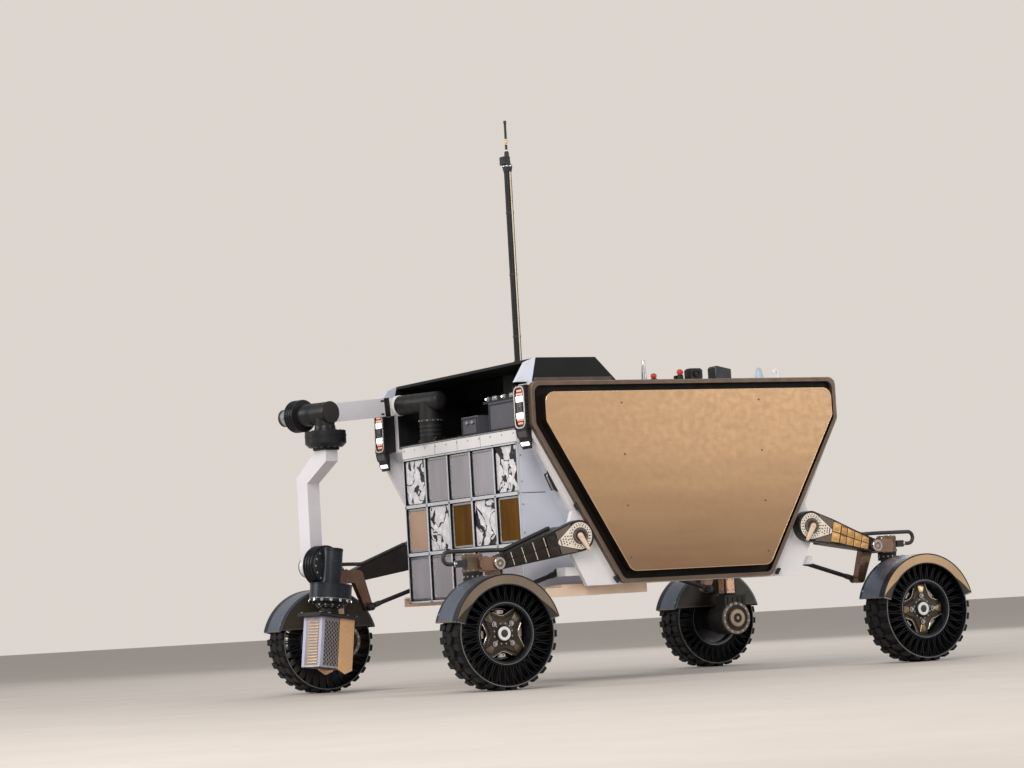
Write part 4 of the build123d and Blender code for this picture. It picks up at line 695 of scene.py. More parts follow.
def make_spiders(turn, pads, which):
    """The parts of the star that carries the rim, on wheels that stand turned by an angle."""
    @corners("spider", WHEEL, which=which)
    def spider(bm):
        """Broad arms with raised ribs."""
        wheel_plate(bm, star(0.1645, 0.104, 0.040, turn), FACE_Y - 0.026, HUB_FACE, 0.005)
        wheel_plate(bm, star(0.150, 0.086, 0.020, turn), HUB_FACE - 0.002, HUB_FACE + 0.007, 0.004)

    @corners("spider_edge", WHEEL, which=which)
    def spider_edge(bm):
        """Painted highlights: bright thin tubes along the hollow sides of the star."""
        outline = star(0.1640, 0.1035, 0.040, turn)
        per = len(outline) // 4
        for q in range(4):
            run = [outline[(q * per + 3 + k) % len(outline)] for k in range(per - 2)]
            tube(bm, [hub_at(HUB_FACE - 0.0005) + X * b + Z * a for a, b in run], 0.0030, 8)

    @corners(pads, WHEEL, which=which)
    def spider_pads(bm):
        """Tapered pads at the ends of the arms."""
        corner_places = ((0.100, -0.013), (0.100, 0.013), (0.144, 0.026), (0.149, 0.018), (0.149, -0.018),
                         (0.144, -0.026))
        for way, side in arms(turn):
            low = [hub_at(HUB_FACE) + way * r + side * s for r, s in corner_places]
            high = [hub_at(HUB_FACE + 0.013) + way * (0.122 + (r - 0.122) * 0.88) + side * s * 0.86
                    for r, s in corner_places]
            loft(bm, [low, [p + Y * 0.010 for p in low], high])

    @corners("cast_pale", WHEEL, which=which)
    def rim_clamps(bm):
        """Cast clamps inside the rim, seen through the windows between the arms."""
        for q in range(4):
            base = TURN / 8 + TURN / 4 * q + turn
            for low, high, y0, y1, half in ((0.112, 0.140, 0.000, 0.026, 0.20),
                                            (0.144, 0.150, -0.010, 0.014, 0.34)):
                swing = [base - half + 2 * half * k / 8 for k in range(9)]
                wheel_plate(bm, [(high * math.cos(a), high * math.sin(a)) for a in swing]
                            + [(low * math.cos(a), low * math.sin(a)) for a in swing[::-1]], y0, y1, 0.003)
            bolts(bm, [wheel_at(0.126, base + side, 0.026) for side in (-0.12, 0.12)], Y, 0.0065, 0.006)

    @corners("chrome", WHEEL, which=which)
    def spider_bolts(bm):
        """Bright lug nuts inside the pads and the small bolts round the middle."""
        for way, _ in arms(turn):
            nut = hub_at(HUB_FACE + 0.006) + way * 0.0815
            drum(bm, nut, nut + Y * 0.006, 0.0145, 0.003, 20)
            bolt(bm, nut + Y * 0.006, Y, 0.0115, 0.013)
        bolt_ring(bm, hub_at(FACE_Y + 0.0065), ways(Z, X, 12, TURN / 24), 0.0605, 0.0036, 0.004, Y)


make_spiders(0.0, "pad_gold", "fr rl rr")
make_spiders(TURN / 8, "pad_dark", "fl")
corners("spider", WHEEL)(lathe("wheel_boss", hub_at(FACE_Y), Y, 48, [
    (-0.030, 0.072), (-0.002, 0.072), (0.004, 0.069), (0.008, 0.052), (0.016, 0.049), (0.020, 0.046),
    (0.021, 0.030)]))
corners("white_cap", WHEEL)(lathe("wheel_cap", hub_at(FACE_Y + 0.0195), Y, 40, [
    (0.0, 0.041), (0.0045, 0.041), (0.0065, 0.0385), (0.0066, 0.0245), (0.0045, 0.0228)]))
corners("charcoal", WHEEL)(lathe("wheel_cap_middle", hub_at(FACE_Y + 0.0190), Y, 32, [
    (0.0, 0.0228), (0.0056, 0.0224), (0.0070, 0.017), (0.0074, 0.002)]))
corners("steel", WHEEL)(named(
    "wheel_shaft", lambda bm: drum(bm, hub_at(-0.122), hub_at(FACE_Y - 0.010), 0.030, 0.001)))


# Carried-over solids: their materials, with softened edges

dress("white_low", "hull")
dress("white", "side_plates", "deck", "rear_cover", "front_beam")
dress("light_box", "canopy_cheeks")
dress("silver", "payload_plate")
dress("bronze", "panel_frames")
dress("groove", "panel_cores")
dress("canopy_black", "canopy")
dress("rack_white", "rack_frame")
dress("cream", "front_rails")
dress("black", "arm_bay", "lamp_housings", "mast", "lower_rods", "front_handles")
dress("charcoal", "antenna", "hose_plugs")
dress("box_grey", "bay_boxes")
dress("hose", "steer_hoses")
dress("leg", "upper_legs")
dress("copper", "knuckles")
dress("gear_dark", *["gearcase_" + c for c in CORNERS])
dress("fender", *["fender_" + c for c in CORNERS])
soften(0.0025, "hull", "side_plates", "deck", "front_beam", "rear_cover", "canopy_cheeks", "payload_plate",
       "canopy")
soften(0.0015, "rack_frame", "panel_frames", "bay_boxes", "front_rails", "mast", "antenna", "knuckles",
       "upper_legs", "lower_rods", "hose_plugs", "arm_bay", "lamp_housings", "front_handles")
soften(0.0012, *["gearcase_" + c for c in CORNERS], *["fender_" + c for c in CORNERS])


def panel_line(draw_in, radius=None):
    """The side panel's outline in Z and X, drawn in all round."""
    (foot_z, foot_x), (bend_z, wide_x), top_z = (0.589, 0.5416), (1.562, 1.1045), 1.825
    slope = math.atan2(bend_z - foot_z, wide_x - foot_x)
    foot_x -= draw_in * (1 / math.sin(slope) - 1 / math.tan(slope))
    bend_z += draw_in * (1 / math.cos(slope) - math.tan(slope))
    wide_x -= draw_in
    half = [(foot_z + draw_in, foot_x), (bend_z, wide_x), (top_z - draw_in, wide_x)]
    return round_outline(half + [(z, -x) for z, x in reversed(half)], radius or 0.052 - draw_in * 0.3)


@sides("gold_sheet", stand_for=("panel_sheets",))
def panel_sheet(bm):
    plate(bm, panel_line(0.070, 0.062), O, Z, X, 1.125, 0.0018, 1.121)


# Painted highlight: the sheet's chamfered edge ring, lighter than the sheet.
@sides("gold_edge_highlight")
def panel_sheet_edge(bm):
    ring_band(bm, panel_line(0.0695, 0.0622), panel_line(0.0755, 0.058), O, Z, X, 1.1225, 1.1256, 0.0022)


@sides("bronze")
def panel_screws(bm):
    for x, z in ((0.506, 1.681), (0.505, 1.368), (0.505, 1.056), (0.502, 0.742),
                 (-0.487, 1.686), (-0.488, 1.370), (-0.491, 1.057), (-0.491, 0.743)):
        screw(bm, (x, 1.1249, z), Y, 0.0060, 0.0018)


@sides("bronze_edge")
def panel_frame_edge(bm):
    ring_band(bm, panel_line(0.0004), panel_line(0.0065), O, Z, X, 1.066, 1.0757, 0.0012)


@sides("groove")
def panel_groove(bm):
    """The dark floor of the groove between the tray's rim and the sheet."""
    ring_band(bm, panel_line(0.0265), panel_line(0.0725), O, Z, X, 1.0452, 1.0462)


@sides("charcoal")
def panel_clips(bm):
    """Dark corner clips below the frame, and the bump on its slanted edge."""
    for x, tilt in ((0.572, -1.0), (-0.600, 1.0)):
        block(bm, (x, 1.050, 0.6150), (0.044, 0.024, 0.016), 0.003, Matrix.Rotation(tilt * 0.95, 3, "Y"))
        screw(bm, (x, 1.0615, 0.6150), Y, 0.0050, 0.003)
    block(bm, (0.8255, 1.060, 1.0625), (0.022, 0.026, 0.044), 0.005, Matrix.Rotation(0.52, 3, "Y"))


@sides("black")
def rear_bumps(bm):
    for z in (1.801, 1.590):
        block(bm, (-1.1020, 1.020, z), (0.034, 0.028, 0.036), 0.004)
        drum(bm, (-1.117, 1.020, z), (-1.131, 1.020, z), 0.011, 0.002, 20)


# Slanted front faces beside the rack

SLANT = math.atan2(1.475 - 0.600, 0.975 - 0.590)
SLANT_OUT = Vector((math.sin(SLANT), 0, -math.cos(SLANT)))
SLANT_UP = Vector((math.cos(SLANT), 0, math.sin(SLANT)))
HANDLE_Y = 0.9


def on_slant(z, y, lift=0.0):
    """A place on the slanted face at this height."""
    return Vector((0.590 + (z - 0.600) / math.tan(SLANT), y, z)) + SLANT_OUT * lift


@sides("charcoal")
def handle_frame(bm):
    rect_band(bm, (0.092, 0.146, 0.018), (0.066, 0.106, 0.010), on_slant(1.235, HANDLE_Y), Y, SLANT_UP,
              -0.001, 0.010, 0.002)


@sides("steel")
def handle_bar(bm):
    bends = ((1.190, 0.036), (1.195, 0.042), (1.28, 0.042), (1.285, 0.036))
    tube(bm, [on_slant(z, HANDLE_Y, lift) for z, lift in bends], 0.0065, 14)


@sides("light_box")
def rack_side(bm):
    """The pale side wall of the rack where it stands out of the slanted face."""
    outline = [(1.470, 1.038), (1.470, 0.955), (1.055, 0.782), (0.640, 0.600), (0.562, 0.605), (0.562, 1.050)]
    plate(bm, outline, O, Z, X, 0.7764, 0.001, 0.7752)


@sides("steel")
def rack_side_lines(bm):
    for z in (1.1715, 0.860):
        block(bm, (0.96, 0.7768, z), (0.17, 0.0014, 0.006), 0.0)
    for z in (1.40, 1.24, 1.10, 0.93, 0.80, 0.62):
        bolt(bm, (1.035, 0.7764, z), Y, 0.0045, 0.0035)


# Deck trim and the rear face

DECK_Z, COVER_X = 1.825, -1.0570


@single("steel")
def deck_screws(bm):
    for x in (-1.03 + i * 0.142 for i in range(15)):
        if not 0.40 < x < 1.06:
            screw(bm, (x, 0.985, DECK_Z + 0.0001), Z, 0.0065, 0.0028)
            screw(bm, (x, 0.55 if x < 0.3 else 0.985, DECK_Z + 0.0001), Z, 0.0065, 0.0028)


@single("seam")
def deck_seams(bm):
    for x in (-0.98, 0.32):
        block(bm, (x, 0, DECK_Z + 0.0003), (0.0045, 1.90, 0.0008), 0.0)
    for y in (-0.62, 0.62):
        block(bm, (-0.33, y, DECK_Z + 0.0003), (1.30, 0.0045, 0.0008), 0.0)


@single("steel")
def rear_cover_bolts(bm):
    for y in [-0.70 + 0.14 * i for i in range(11)]:
        for z in (1.575, 1.768):
            bolt(bm, (COVER_X, y, z), -X, 0.0065, 0.005)


@single("seam")
def rear_cover_seams(bm):
    for y in (-0.25, 0.25):
        block(bm, (COVER_X - 0.0004, y, 1.6715), (0.0012, 0.0045, 0.222), 0.0)


@single("gear_dark")
def payload_plate_screws(bm):
    for x in (-0.79, -0.48, -0.17):
        for y in (-0.26, 0.26):
            screw(bm, (x, y, 1.8371), Z, 0.008, 0.003)


# Payload rack: framed doors, foil tiles, the beam above

RACK_X, RACK_HALF, RACK_TOP, ROW_H, BAR = 1.058, 0.775, 1.483, 0.3115, 0.022
RACK_FILL = ("ddddd", "gtgtb", "tdddt")


def rack_cells(kinds):
    """Centres and sizes of the rack's cells that hold these kinds."""
    pitch = 2 * RACK_HALF / 5
    for row, cells in enumerate(RACK_FILL):
        for column, cell in enumerate(cells):
            if cell in kinds:
                left = RACK_HALF - column * pitch
                y1 = left - (0.012 if column == 0 else BAR / 2)
                y0 = left - pitch + (0.012 if column == 4 else BAR / 2)
                z0 = RACK_TOP - (3 - row) * ROW_H + BAR / 2
                z1 = z0 + ROW_H - BAR
                yield (y0 + y1) / 2, (z0 + z1) / 2, y1 - y0 - 0.006, z1 - z0 - 0.006


DOOR_FACE = RACK_X - 0.012


@single("silver", stand_for=("rack_doors", "rack_gold_doors", "rack_beige_door"))
def rack_door_rims(bm):
    for y, z, width, height in rack_cells("dgb"):
        rect_band(bm, (width, height, 0.018), (width - 0.030, height - 0.030, 0.013), (DOOR_FACE, y, z), Y, Z,
                  -0.016, 0.0005, 0.002)


def door_panels(kind):
    def build(bm):
        for y, z, width, height in rack_cells(kind):
            plate(bm, rounded_rect(width - 0.029, height - 0.029, 0.0135), (DOOR_FACE, y, z), Y, Z, -0.0045,
                  0.001, -0.016)
    return build


@single("dark_gap")
def rack_door_gaps(bm):
    """The dark gap round each door and tile, and the dark inner edges of the frame."""
    for y, z, width, height in rack_cells("dgbt"):
        rect_band(bm, (width + 0.0056, height + 0.0056, 0.004), (width - 0.004, height - 0.004, 0.016),
                  (DOOR_FACE, y, z), Y, Z, -0.012, 0.0010)
        rect_band(bm, (width + 0.0070, height + 0.0070, 0.004), (width + 0.0044, height + 0.0044, 0.003),
                  (DOOR_FACE, y, z), Y, Z, -0.004, 0.0124)


def crossings():
    for row in range(4):
        z = RACK_TOP - row * ROW_H - (0.008 if row == 0 else -0.008 if row == 3 else 0)
        for column in range(6):
            y = RACK_HALF - column * 2 * RACK_HALF / 5
            yield min(RACK_HALF - 0.009, max(-RACK_HALF + 0.009, y)), z


@single("charcoal")
def rack_frame_washers(bm):
    for y, z in crossings():
        turned(bm, [(-0.001, 0.0115), (0.0010, 0.0115), (0.0014, 0.0108), (0.0014, 0.0050)], (RACK_X, y, z),
               X, 22)


@single("steel")
def rack_frame_bolts(bm):
    for y, z in crossings():
        bolt(bm, (RACK_X + 0.0010, y, z), X, 0.0078, 0.0040)


@single("foil_tile", stand_for=("rack_tiles",), smooth=60)
def rack_foil_tiles(bm):
    """Crinkled foil squares: a fine grid pushed in and out by folds."""
    for y, z, width, height in rack_cells("t"):
        steps = 26
        offset = y * 3.7 + z * 5.1
        rows = []
        for i in range(steps + 1):
            row = []
            for k in range(steps + 1):
                a, b = (i / steps - 0.5) * width, (k / steps - 0.5) * height
                fold = (math.sin(a * 61 + b * 23 + offset)
                        * math.sin(b * 47 - a * 31 + offset * 2) + 0.6 * math.sin(a * 113 + offset * 3)
                        * math.cos(b * 97 + a * 40) + 0.5 * math.sin(a * 190 - b * 150 + offset))
                rim = min(1.0, 6 * min(0.5 - abs(a) / width, 0.5 - abs(b) / height))
                row.append(bm.verts.new((DOOR_FACE - 0.001 + 0.0030 * fold * rim, y + a, z + b)))
            rows.append(row)
        for i in range(steps):
            for k in range(steps):
                bm.faces.new((rows[i][k], rows[i + 1][k], rows[i + 1][k + 1], rows[i][k + 1]))
        edge = rows[0] + [r[-1] for r in rows[1:]] + rows[-1][-2::-1] + [r[0] for r in rows[-2:0:-1]]
        back = [bm.verts.new(v.co - X * 0.012) for v in edge]
        for i in range(len(edge)):
            j = (i + 1) % len(edge)
            bm.faces.new((edge[i], edge[j], back[j], back[i]))
        bm.faces.new(back)


single("door_grey")(named("rack_door_panels", door_panels("d")))
single("door_gold")(named("rack_gold_panels", door_panels("g")))
single("door_beige")(named("rack_beige_panel", door_panels("b")))


@single("seam")
def beam_seams(bm):
    """The dark seams above the beam and in it."""
    block(bm, (RACK_X + 0.0002, 0, RACK_TOP + 0.0015), (0.002, 1.548, 0.003), 0.0)
    for y in (-0.31, 0.0, 0.31):
        block(bm, (RACK_X + 0.0002, y, RACK_TOP + 0.0385), (0.0016, 0.0026, 0.070), 0.0)


@single("steel")
def beam_screws(bm):
    for i in range(11):
        screw(bm, (RACK_X, -0.745 + i * 0.149, RACK_TOP + 0.055), X, 0.0055, 0.003)


@single("silver")
def bay_lip(bm):
    """The bay's folded front lip above the beam."""
    block(bm, (RACK_X - 0.004, 0, 1.5645), (0.014, 1.60, 0.012), 0.003)


# Lower rails and the pale edge along the chassis foot

@sides("tan")
def foot_rail(bm):
    block(bm, (0.0, 1.0180, 0.5905), (1.30, 0.030, 0.011), 0.002)


@sides("cream")
def rail_cover(bm):
    """The pale cover of the front rail, thin towards the middle of the vehicle."""
    block(bm, (0.8288, 0.9512, 0.5560), (0.3664, 0.0040, 0.0560), 0.001)
    block(bm, (0.4800, 0.9512, 0.5740), (0.3315, 0.0040, 0.0260), 0.001)
    block(bm, (0.8288, 0.9300, 0.5893), (0.3664, 0.0440, 0.0030), 0.001)


# Arm bay: equipment boxes, shelf and fittings

@single("charcoal")
def bay_box_fronts(bm):
    for y, width, height in ((0.445, 0.370, 0.1855), (0.0, 0.220, 0.1255)):
        z = 1.5745 + height / 2
        rect_band(bm, (width - 0.016, height - 0.016, 0.010), (width - 0.036, height - 0.036, 0.006),
                  (0.960, y, z), Y, Z, -0.001, 0.004, 0.001)
        for sy in (-1, 1):
            for sz in (-1, 1):
                screw(bm, (0.9635, y + sy * (width / 2 - 0.013), z + sz * (height / 2 - 0.013)), X, 0.004,
                      0.002)


@single("black_satin")
def bay_shelf(bm):
    block(bm, (0.8105, 0.445, 1.7663), (0.3045, 0.5040, 0.0155), 0.003)
    block(bm, (0.8100, 0.690, 1.671), (0.30, 0.012, 0.190), 0.003)


@single("silver")
def bay_fittings(bm):
    for y, width in ((0.56, 0.050), (0.46, 0.036), (0.34, 0.060), (0.25, 0.030)):
        block(bm, (0.938, y, 1.7865), (0.040, width, 0.027), 0.003)
        drum(bm, (0.957, y, 1.7865), (0.968, y, 1.7865), 0.008, 0.002, 16)
    for y in (-0.02, 0.05):
        drum(bm, (0.96, y, 1.66), (0.975, y, 1.66), 0.012, 0.003, 20)


@single("led_white")
def bay_lights(bm):
    for y in (0.46, 0.25):
        drum(bm, (0.9675, y, 1.7865), (0.9735, y, 1.7865), 0.0070, 0.002, 16)


@single("hose")
def bay_cables(bm):
    """Cable bundles that run along the bay's floor and up its rear wall."""
    for k, y in enumerate((-0.14, -0.165, 0.21, 0.235)):
        z = 1.5825 + 0.002 * (k % 2)
        points = [Vector((0.965, y, z)), Vector((0.80, y, z)), Vector((0.56, y, z)),
                  Vector((0.500, y, z + 0.012)), Vector((0.482, y, z + 0.045)), Vector((0.480, y, 1.80))]
        tube(bm, points, 0.0078, 10)


# Canopy: tan foot strip, top seams and screws

@sides("canopy_foot")
def canopy_strip(bm):
    """The brown foot along the canopy's side wall."""
    plate(bm, [(1.8262, 0.473), (1.8262, 1.026), (1.8560, 1.018), (1.8560, 0.473)], O, Z, X, 0.9722, 0.0006,
          0.9695)


@single("dark_gap")
def canopy_seams(bm):
    for y in (-0.925, 0.925):
        block(bm, (0.79, y, 1.9772), (0.40, 0.0040, 0.0012), 0.0)
    for y in (-0.45, 0.45):
        block(bm, (0.79, y, 1.9772), (0.40, 0.0030, 0.0010), 0.0)


@single("canopy_black")
def canopy_screws(bm):
    for y in (-0.90 + i * 0.15 for i in range(13)):
        if abs(y) > 0.09:
            screw(bm, (0.985, y, 1.977), Z, 0.006, 0.0026)
            screw(bm, (0.610, y, 1.977), Z, 0.006, 0.0026)


@sides("canopy_black")
def canopy_side_screws(bm):
    for x, z in ((0.66, 1.955), (0.80, 1.955), (0.95, 1.955)):
        screw(bm, (x, 0.970, z), Y, 0.0045, 0.0016)


# Lamps

LAMP = Vector((1.127, 0.965, 1.6755))


@sides("white_cap", stand_for=("lamp_faces",))
def lamp_ring(bm):
    rect_band(bm, (0.127, 0.255, 0.040), (0.112, 0.240, 0.034), LAMP, Y, Z, -0.008, 0.0040, 0.002)


@sides("red_dark")
def lamp_border(bm):
    rect_band(bm, (0.1125, 0.2405, 0.034), (0.098, 0.227, 0.029), LAMP, Y, Z, -0.006, 0.0014, 0.0006)


@sides("glass_dark")
def lamp_bed(bm):
    plate(bm, rounded_rect(0.1125, 0.2405, 0.034), LAMP, Y, Z, -0.003, 0.0006, -0.0085)


def lamp_cells(rows, base, size=0.0165, pitch=0.0205):
    def build(bm):
        for row in rows:
            count = 4 if (row == 0) == (base > 0) else 3
            for column in range(count):
                place = LAMP + Vector((-0.0025, (column - (count - 1) / 2) * pitch, base + row * pitch))
                block(bm, place, (0.003, size, size * 0.74), 0.001)
    return build


@sides("led_white")
def lamp_squares(bm):
    for sign in (-1, 1):
        for k in (-1, 1):
            block(bm, LAMP + Vector((-0.001, k * 0.0205, sign * 0.0500)), (0.006, 0.038, 0.036), 0.003)


@sides("box_grey")
def lamp_camera(bm):
    block(bm, LAMP + Vector((-0.0005, 0, 0)), (0.0075, 0.062, 0.054), 0.004)
    turned(bm, [(0.002, 0.020), (0.0045, 0.020), (0.0055, 0.0180), (0.0050, 0.015), (0.0030, 0.0140),
                (0.0030, 0.001)], LAMP, X, 32)


@sides("glass_dark")
def lamp_camera_lens(bm):
    turned(bm, [(0.0030, 0.0145), (0.0046, 0.0120), (0.0056, 0.006), (0.0058, 0.0005)], LAMP, X, 28)


@sides("charcoal")
def lamp_fins(bm):
    for k in range(9):
        block(bm, (1.110, 1.0352, 1.575 + k * 0.025), (0.034, 0.0045, 0.007), 0.001)
        block(bm, (1.1272, 0.907, 1.575 + k * 0.025), (0.004, 0.026, 0.007), 0.001)


FLOOD, FLOOD_UP = Vector((1.1200, 0.965, 1.5150)), Vector((0.010, 0, 0.040)).normalized()
FLOOD_FOOT, FOOT_UP = Vector((1.0990, 0.965, 1.4560)), Vector((0.0305, 0, 0.080)).normalized()


@sides("charcoal")
def flood_lamp_frame(bm):
    """The housing's lower lamp, framed on the slanted face."""
    rect_band(bm, (0.124, 0.050, 0.007), (0.112, 0.036, 0.005), FLOOD, Y, FLOOD_UP, -0.006, 0.004, 0.001)
    rect_band(bm, (0.122, 0.036, 0.006), (0.110, 0.024, 0.004), FLOOD_FOOT, Y, FOOT_UP, -0.006, 0.005, 0.001)


@sides("glass_dark")
def flood_lamp_glass(bm):
    plate(bm, rounded_rect(0.112, 0.036, 0.005), FLOOD, Y, FLOOD_UP, 0.0012, 0.0005, -0.004)


@sides("led_white")
def flood_lamp_bar(bm):
    plate(bm, rounded_rect(0.112, 0.026, 0.004), FLOOD_FOOT, Y, FOOT_UP, 0.0020, 0.0008, -0.004)


sides("led_orange")(named("lamp_cells_top", lamp_cells((0, 1), 0.0800)))
sides("led_red")(named("lamp_cells_foot", lamp_cells((0, 1), -0.0960)))


# Mast and antenna

MAST_X = 0.583
MAST_TOP = 3.316
MAST_HEAD = (MAST_X, 0, MAST_TOP)


@single("beige_bright")
def mast_cable(bm):
    """A painted highlight: a pale thin tube up the mast's near side."""
    tube(bm, [(MAST_X - 0.0036, 0.0248, 2.030), (MAST_X - 0.0036, 0.0248, 2.60),
              (MAST_X - 0.0036, 0.0248, 3.270)], 0.0046, 8)


@single("charcoal")
def mast_bands(bm):
    for z in (2.20, 2.60, 3.00):
        turned(bm, hoop(0.014, 0.0243, 0.0258, 0.0235), (MAST_X, 0, z), Z, 28)


@single("charcoal")
def mast_collar(bm):
    """The mast's flared top under the antenna."""
    turned(bm, [(-0.046, 0.0235), (-0.044, 0.0262), (-0.014, 0.0325), (-0.002, 0.0325), (-0.001, 0.0300)],
           MAST_HEAD, Z, 32)


@single("silver")
def mast_ring(bm):
    turned(bm, [(-0.012, 0.0322), (-0.0115, 0.0340), (-0.0060, 0.0340), (-0.0055, 0.0322), (-0.012, 0.0322)],
           MAST_HEAD, Z, 32)


@single("charcoal")
def mast_foot_collar(bm):
    turned(bm, [(0.0, 0.062), (0.019, 0.062), (0.0225, 0.058), (0.027, 0.040), (0.058, 0.030),
                (0.062, 0.0245)], (MAST_X, 0, 1.991), Z, 36)
    for k in range(4):
        a = math.pi / 4 + k * math.pi / 2
        bolt(bm, (MAST_X + 0.075 * math.cos(a), 0.068 * math.sin(a), 1.9912), Z, 0.0075, 0.006)


@single("charcoal")
def antenna_trim(bm):
    for z in (0.003, 0.044):
        rect_band(bm, (0.0530, 0.0530, 0.004, 2), (0.0490, 0.0490, 0.003, 2),
                  (MAST_X + 0.016, 0, MAST_TOP + z), X, Y, 0, 0.005)
    for sy in (-1, 1):
        screw(bm, (MAST_X + 0.020, sy * 0.0252, MAST_TOP + 0.026), Y * sy, 0.005, 0.003)


@single("charcoal")
def whip_foot(bm):
    """The tapered sleeve at the whip's foot, and the cap at its tip."""
    turned(bm, [(0.0, 0.0240), (0.014, 0.0225), (0.052, 0.0165), (0.086, 0.0138), (0.090, 0.0085)], MAST_HEAD,
           Z, 28)
    turned(bm, [(0.268, 0.0078), (0.270, 0.0098), (0.286, 0.0098), (0.2885, 0.0070)], MAST_HEAD, Z, 20)


@single("white_cap")
def whip_ring(bm):
    turned(bm, [(0.0895, 0.0080), (0.0900, 0.0108), (0.0985, 0.0108), (0.0990, 0.0080)], MAST_HEAD, Z, 24)


@single("brass")
def whip_band(bm):
    turned(bm, [(0.130, 0.0078), (0.1305, 0.0092), (0.1695, 0.0092), (0.170, 0.0078)], MAST_HEAD, Z, 24)


# Small pieces on the deck

ROW_Y = 0.900


@single("steel", stand_for=("deck_controls",))
def deck_stub(bm):
    turned(bm, [(0, 0.020), (0.006, 0.020), (0.010, 0.0165), (0.060, 0.0140), (0.100, 0.0120),
                (0.128, 0.0110), (0.135, 0.008)], (0.200, ROW_Y, DECK_Z), Z, 32)


@single("black")
def switch_feet(bm):
    turned(bm, [(0, 0.024), (0.012, 0.024), (0.018, 0.021), (0.020, 0.018)], (0.130, ROW_Y, DECK_Z), Z, 32)
    turned(bm, [(0, 0.022), (0.030, 0.020), (0.038, 0.0185), (0.042, 0.014)], (-0.063, ROW_Y, DECK_Z), Z, 32)
    block(bm, (-0.063, ROW_Y - 0.030, 1.845), (0.046, 0.030, 0.038), 0.004)


@single("red")
def switch_heads(bm):
    turned(bm, [(0, 0.010), (0.004, 0.013), (0.010, 0.0180), (0.018, 0.0195), (0.026, 0.0180),
                (0.032, 0.0120), (0.035, 0.004)], (0.130, ROW_Y, 1.843), Z, 32)
    turned(bm, [(0, 0.012), (0.006, 0.015), (0.012, 0.0195), (0.020, 0.0210), (0.028, 0.0195),
                (0.036, 0.0120), (0.039, 0.004)], (-0.063, ROW_Y, 1.863), Z, 36)


@single("black", stand_for=("deck_sensors",))
def deck_camera(bm):
    block(bm, (-0.1615, ROW_Y, 1.868), (0.096, 0.070, 0.062), 0.005)
    block(bm, (-0.1615, ROW_Y, 1.831), (0.060, 0.050, 0.012), 0.002)
    turned(bm, [(0, 0.022), (0.012, 0.022), (0.016, 0.019), (0.014, 0.014), (0.008, 0.012), (0.008, 0.001)],
           (-0.1615, ROW_Y + 0.034, 1.870), Y, 28)
    for k in range(5):
        block(bm, (-0.1615 - 0.032 + k * 0.016, ROW_Y, 1.9015), (0.006, 0.060, 0.006), 0.001)


@single("black_satin")
def deck_receiver(bm):
    outline = [(1.825, -0.414), (1.895, -0.414), (1.917, -0.310), (1.905, -0.297), (1.825, -0.297)]
    plate(bm, outline, O, Z, X, ROW_Y + 0.045, 0.003, ROW_Y - 0.045)
    for k in range(4):
        block(bm, (-0.355, ROW_Y + 0.0452, 1.846 + k * 0.013), (0.070, 0.002, 0.005), 0.0)


@single("pale_blue", stand_for=("deck_fittings",))
def deck_beacon(bm):
    turned(bm, [(0, 0.034), (0.006, 0.034), (0.010, 0.030), (0.030, 0.025), (0.058, 0.019), (0.074, 0.0150),
                (0.080, 0.008)], (-0.649, ROW_Y, DECK_Z), Z, 36)


@single("white_cap")
def deck_vent(bm):
    turned(bm, [(0, 0.024), (0.008, 0.024), (0.010, 0.020), (0.010, 0.013)], (-0.795, ROW_Y, DECK_Z), Z, 28)
    points = [Vector((-0.795, ROW_Y, 1.830))]
    for k in range(13):
        a = math.pi * k / 12 * 1.05
        points.append(Vector((-0.795 + 0.016 - 0.016 * math.cos(a), ROW_Y, 1.872 + 0.0165 * math.sin(a))))
    tube(bm, points, 0.0105, 16)


# Suspension: legs with their flanges, perforated plate and tiles

PIVOT, PIN = (0.837, 0.886), (1.367, 0.745)
PIVOT_R, PIN_R = 0.095, 0.040
LEG_WAY = Vector((PIN[0] - PIVOT[0], 0, PIN[1] - PIVOT[1]))
LEG_LENGTH = LEG_WAY.length
LEG_WAY.normalize()
LEG_UP = Vector((-LEG_WAY.z, 0, LEG_WAY.x))


def at_pivot(y):
    return Vector((PIVOT[0], y, PIVOT[1]))


def taper_line(p1, r1, p2, r2, steps=20):
    """The outline in Z and X round two circles and their tangents."""
    dx, dz = p2[0] - p1[0], p2[1] - p1[1]
    heading = math.atan2(dz, dx)
    swing = math.acos((r1 - r2) / math.hypot(dx, dz))
    points = []
    for centre, radius, start, end in ((p1, r1, heading + swing, heading + TURN - swing),
                                       (p2, r2, heading - swing, heading + swing)):
        for i in range(steps + 1):
            a = start + (end - start) * i / steps
            points.append((centre[1] + radius * math.sin(a), centre[0] + radius * math.cos(a)))
    return points[::-1]


def skin_y(x):
    """The leg's outer side: flat to the taper's start, then drawn in towards the pin."""
    start, end = 1.000, 1.327
    if x < start:
        return 1.0976
    return 1.0976 - (min(x, end) - start) * (1.0976 - 1.030) / (end - start)


def on_leg(share, across, lift=0.0):
    """A place on the leg's side: its share of the way to the pin, across from -1 to 1."""
    half = PIVOT_R + (PIN_R - PIVOT_R) * share
    place = at_pivot(0) + LEG_WAY * (LEG_LENGTH * share) + LEG_UP * (half * across)
    place.y = skin_y(place.x) + lift
    return place


@corners("black")
def leg_flange(bm):
    """The raised flange round the leg's edge."""
    outer, inner = taper_line(PIVOT, PIVOT_R, PIN, PIN_R), taper_line(PIVOT, PIVOT_R - 0.010, PIN,
                                                                      PIN_R - 0.009)
    levels = ((outer, -0.004), (outer, 0.0030), (inner, 0.0030), (inner, -0.004))
    loft(bm, [[(x, skin_y(x) + lift, z) for z, x in line] for line, lift in levels], loop=True)


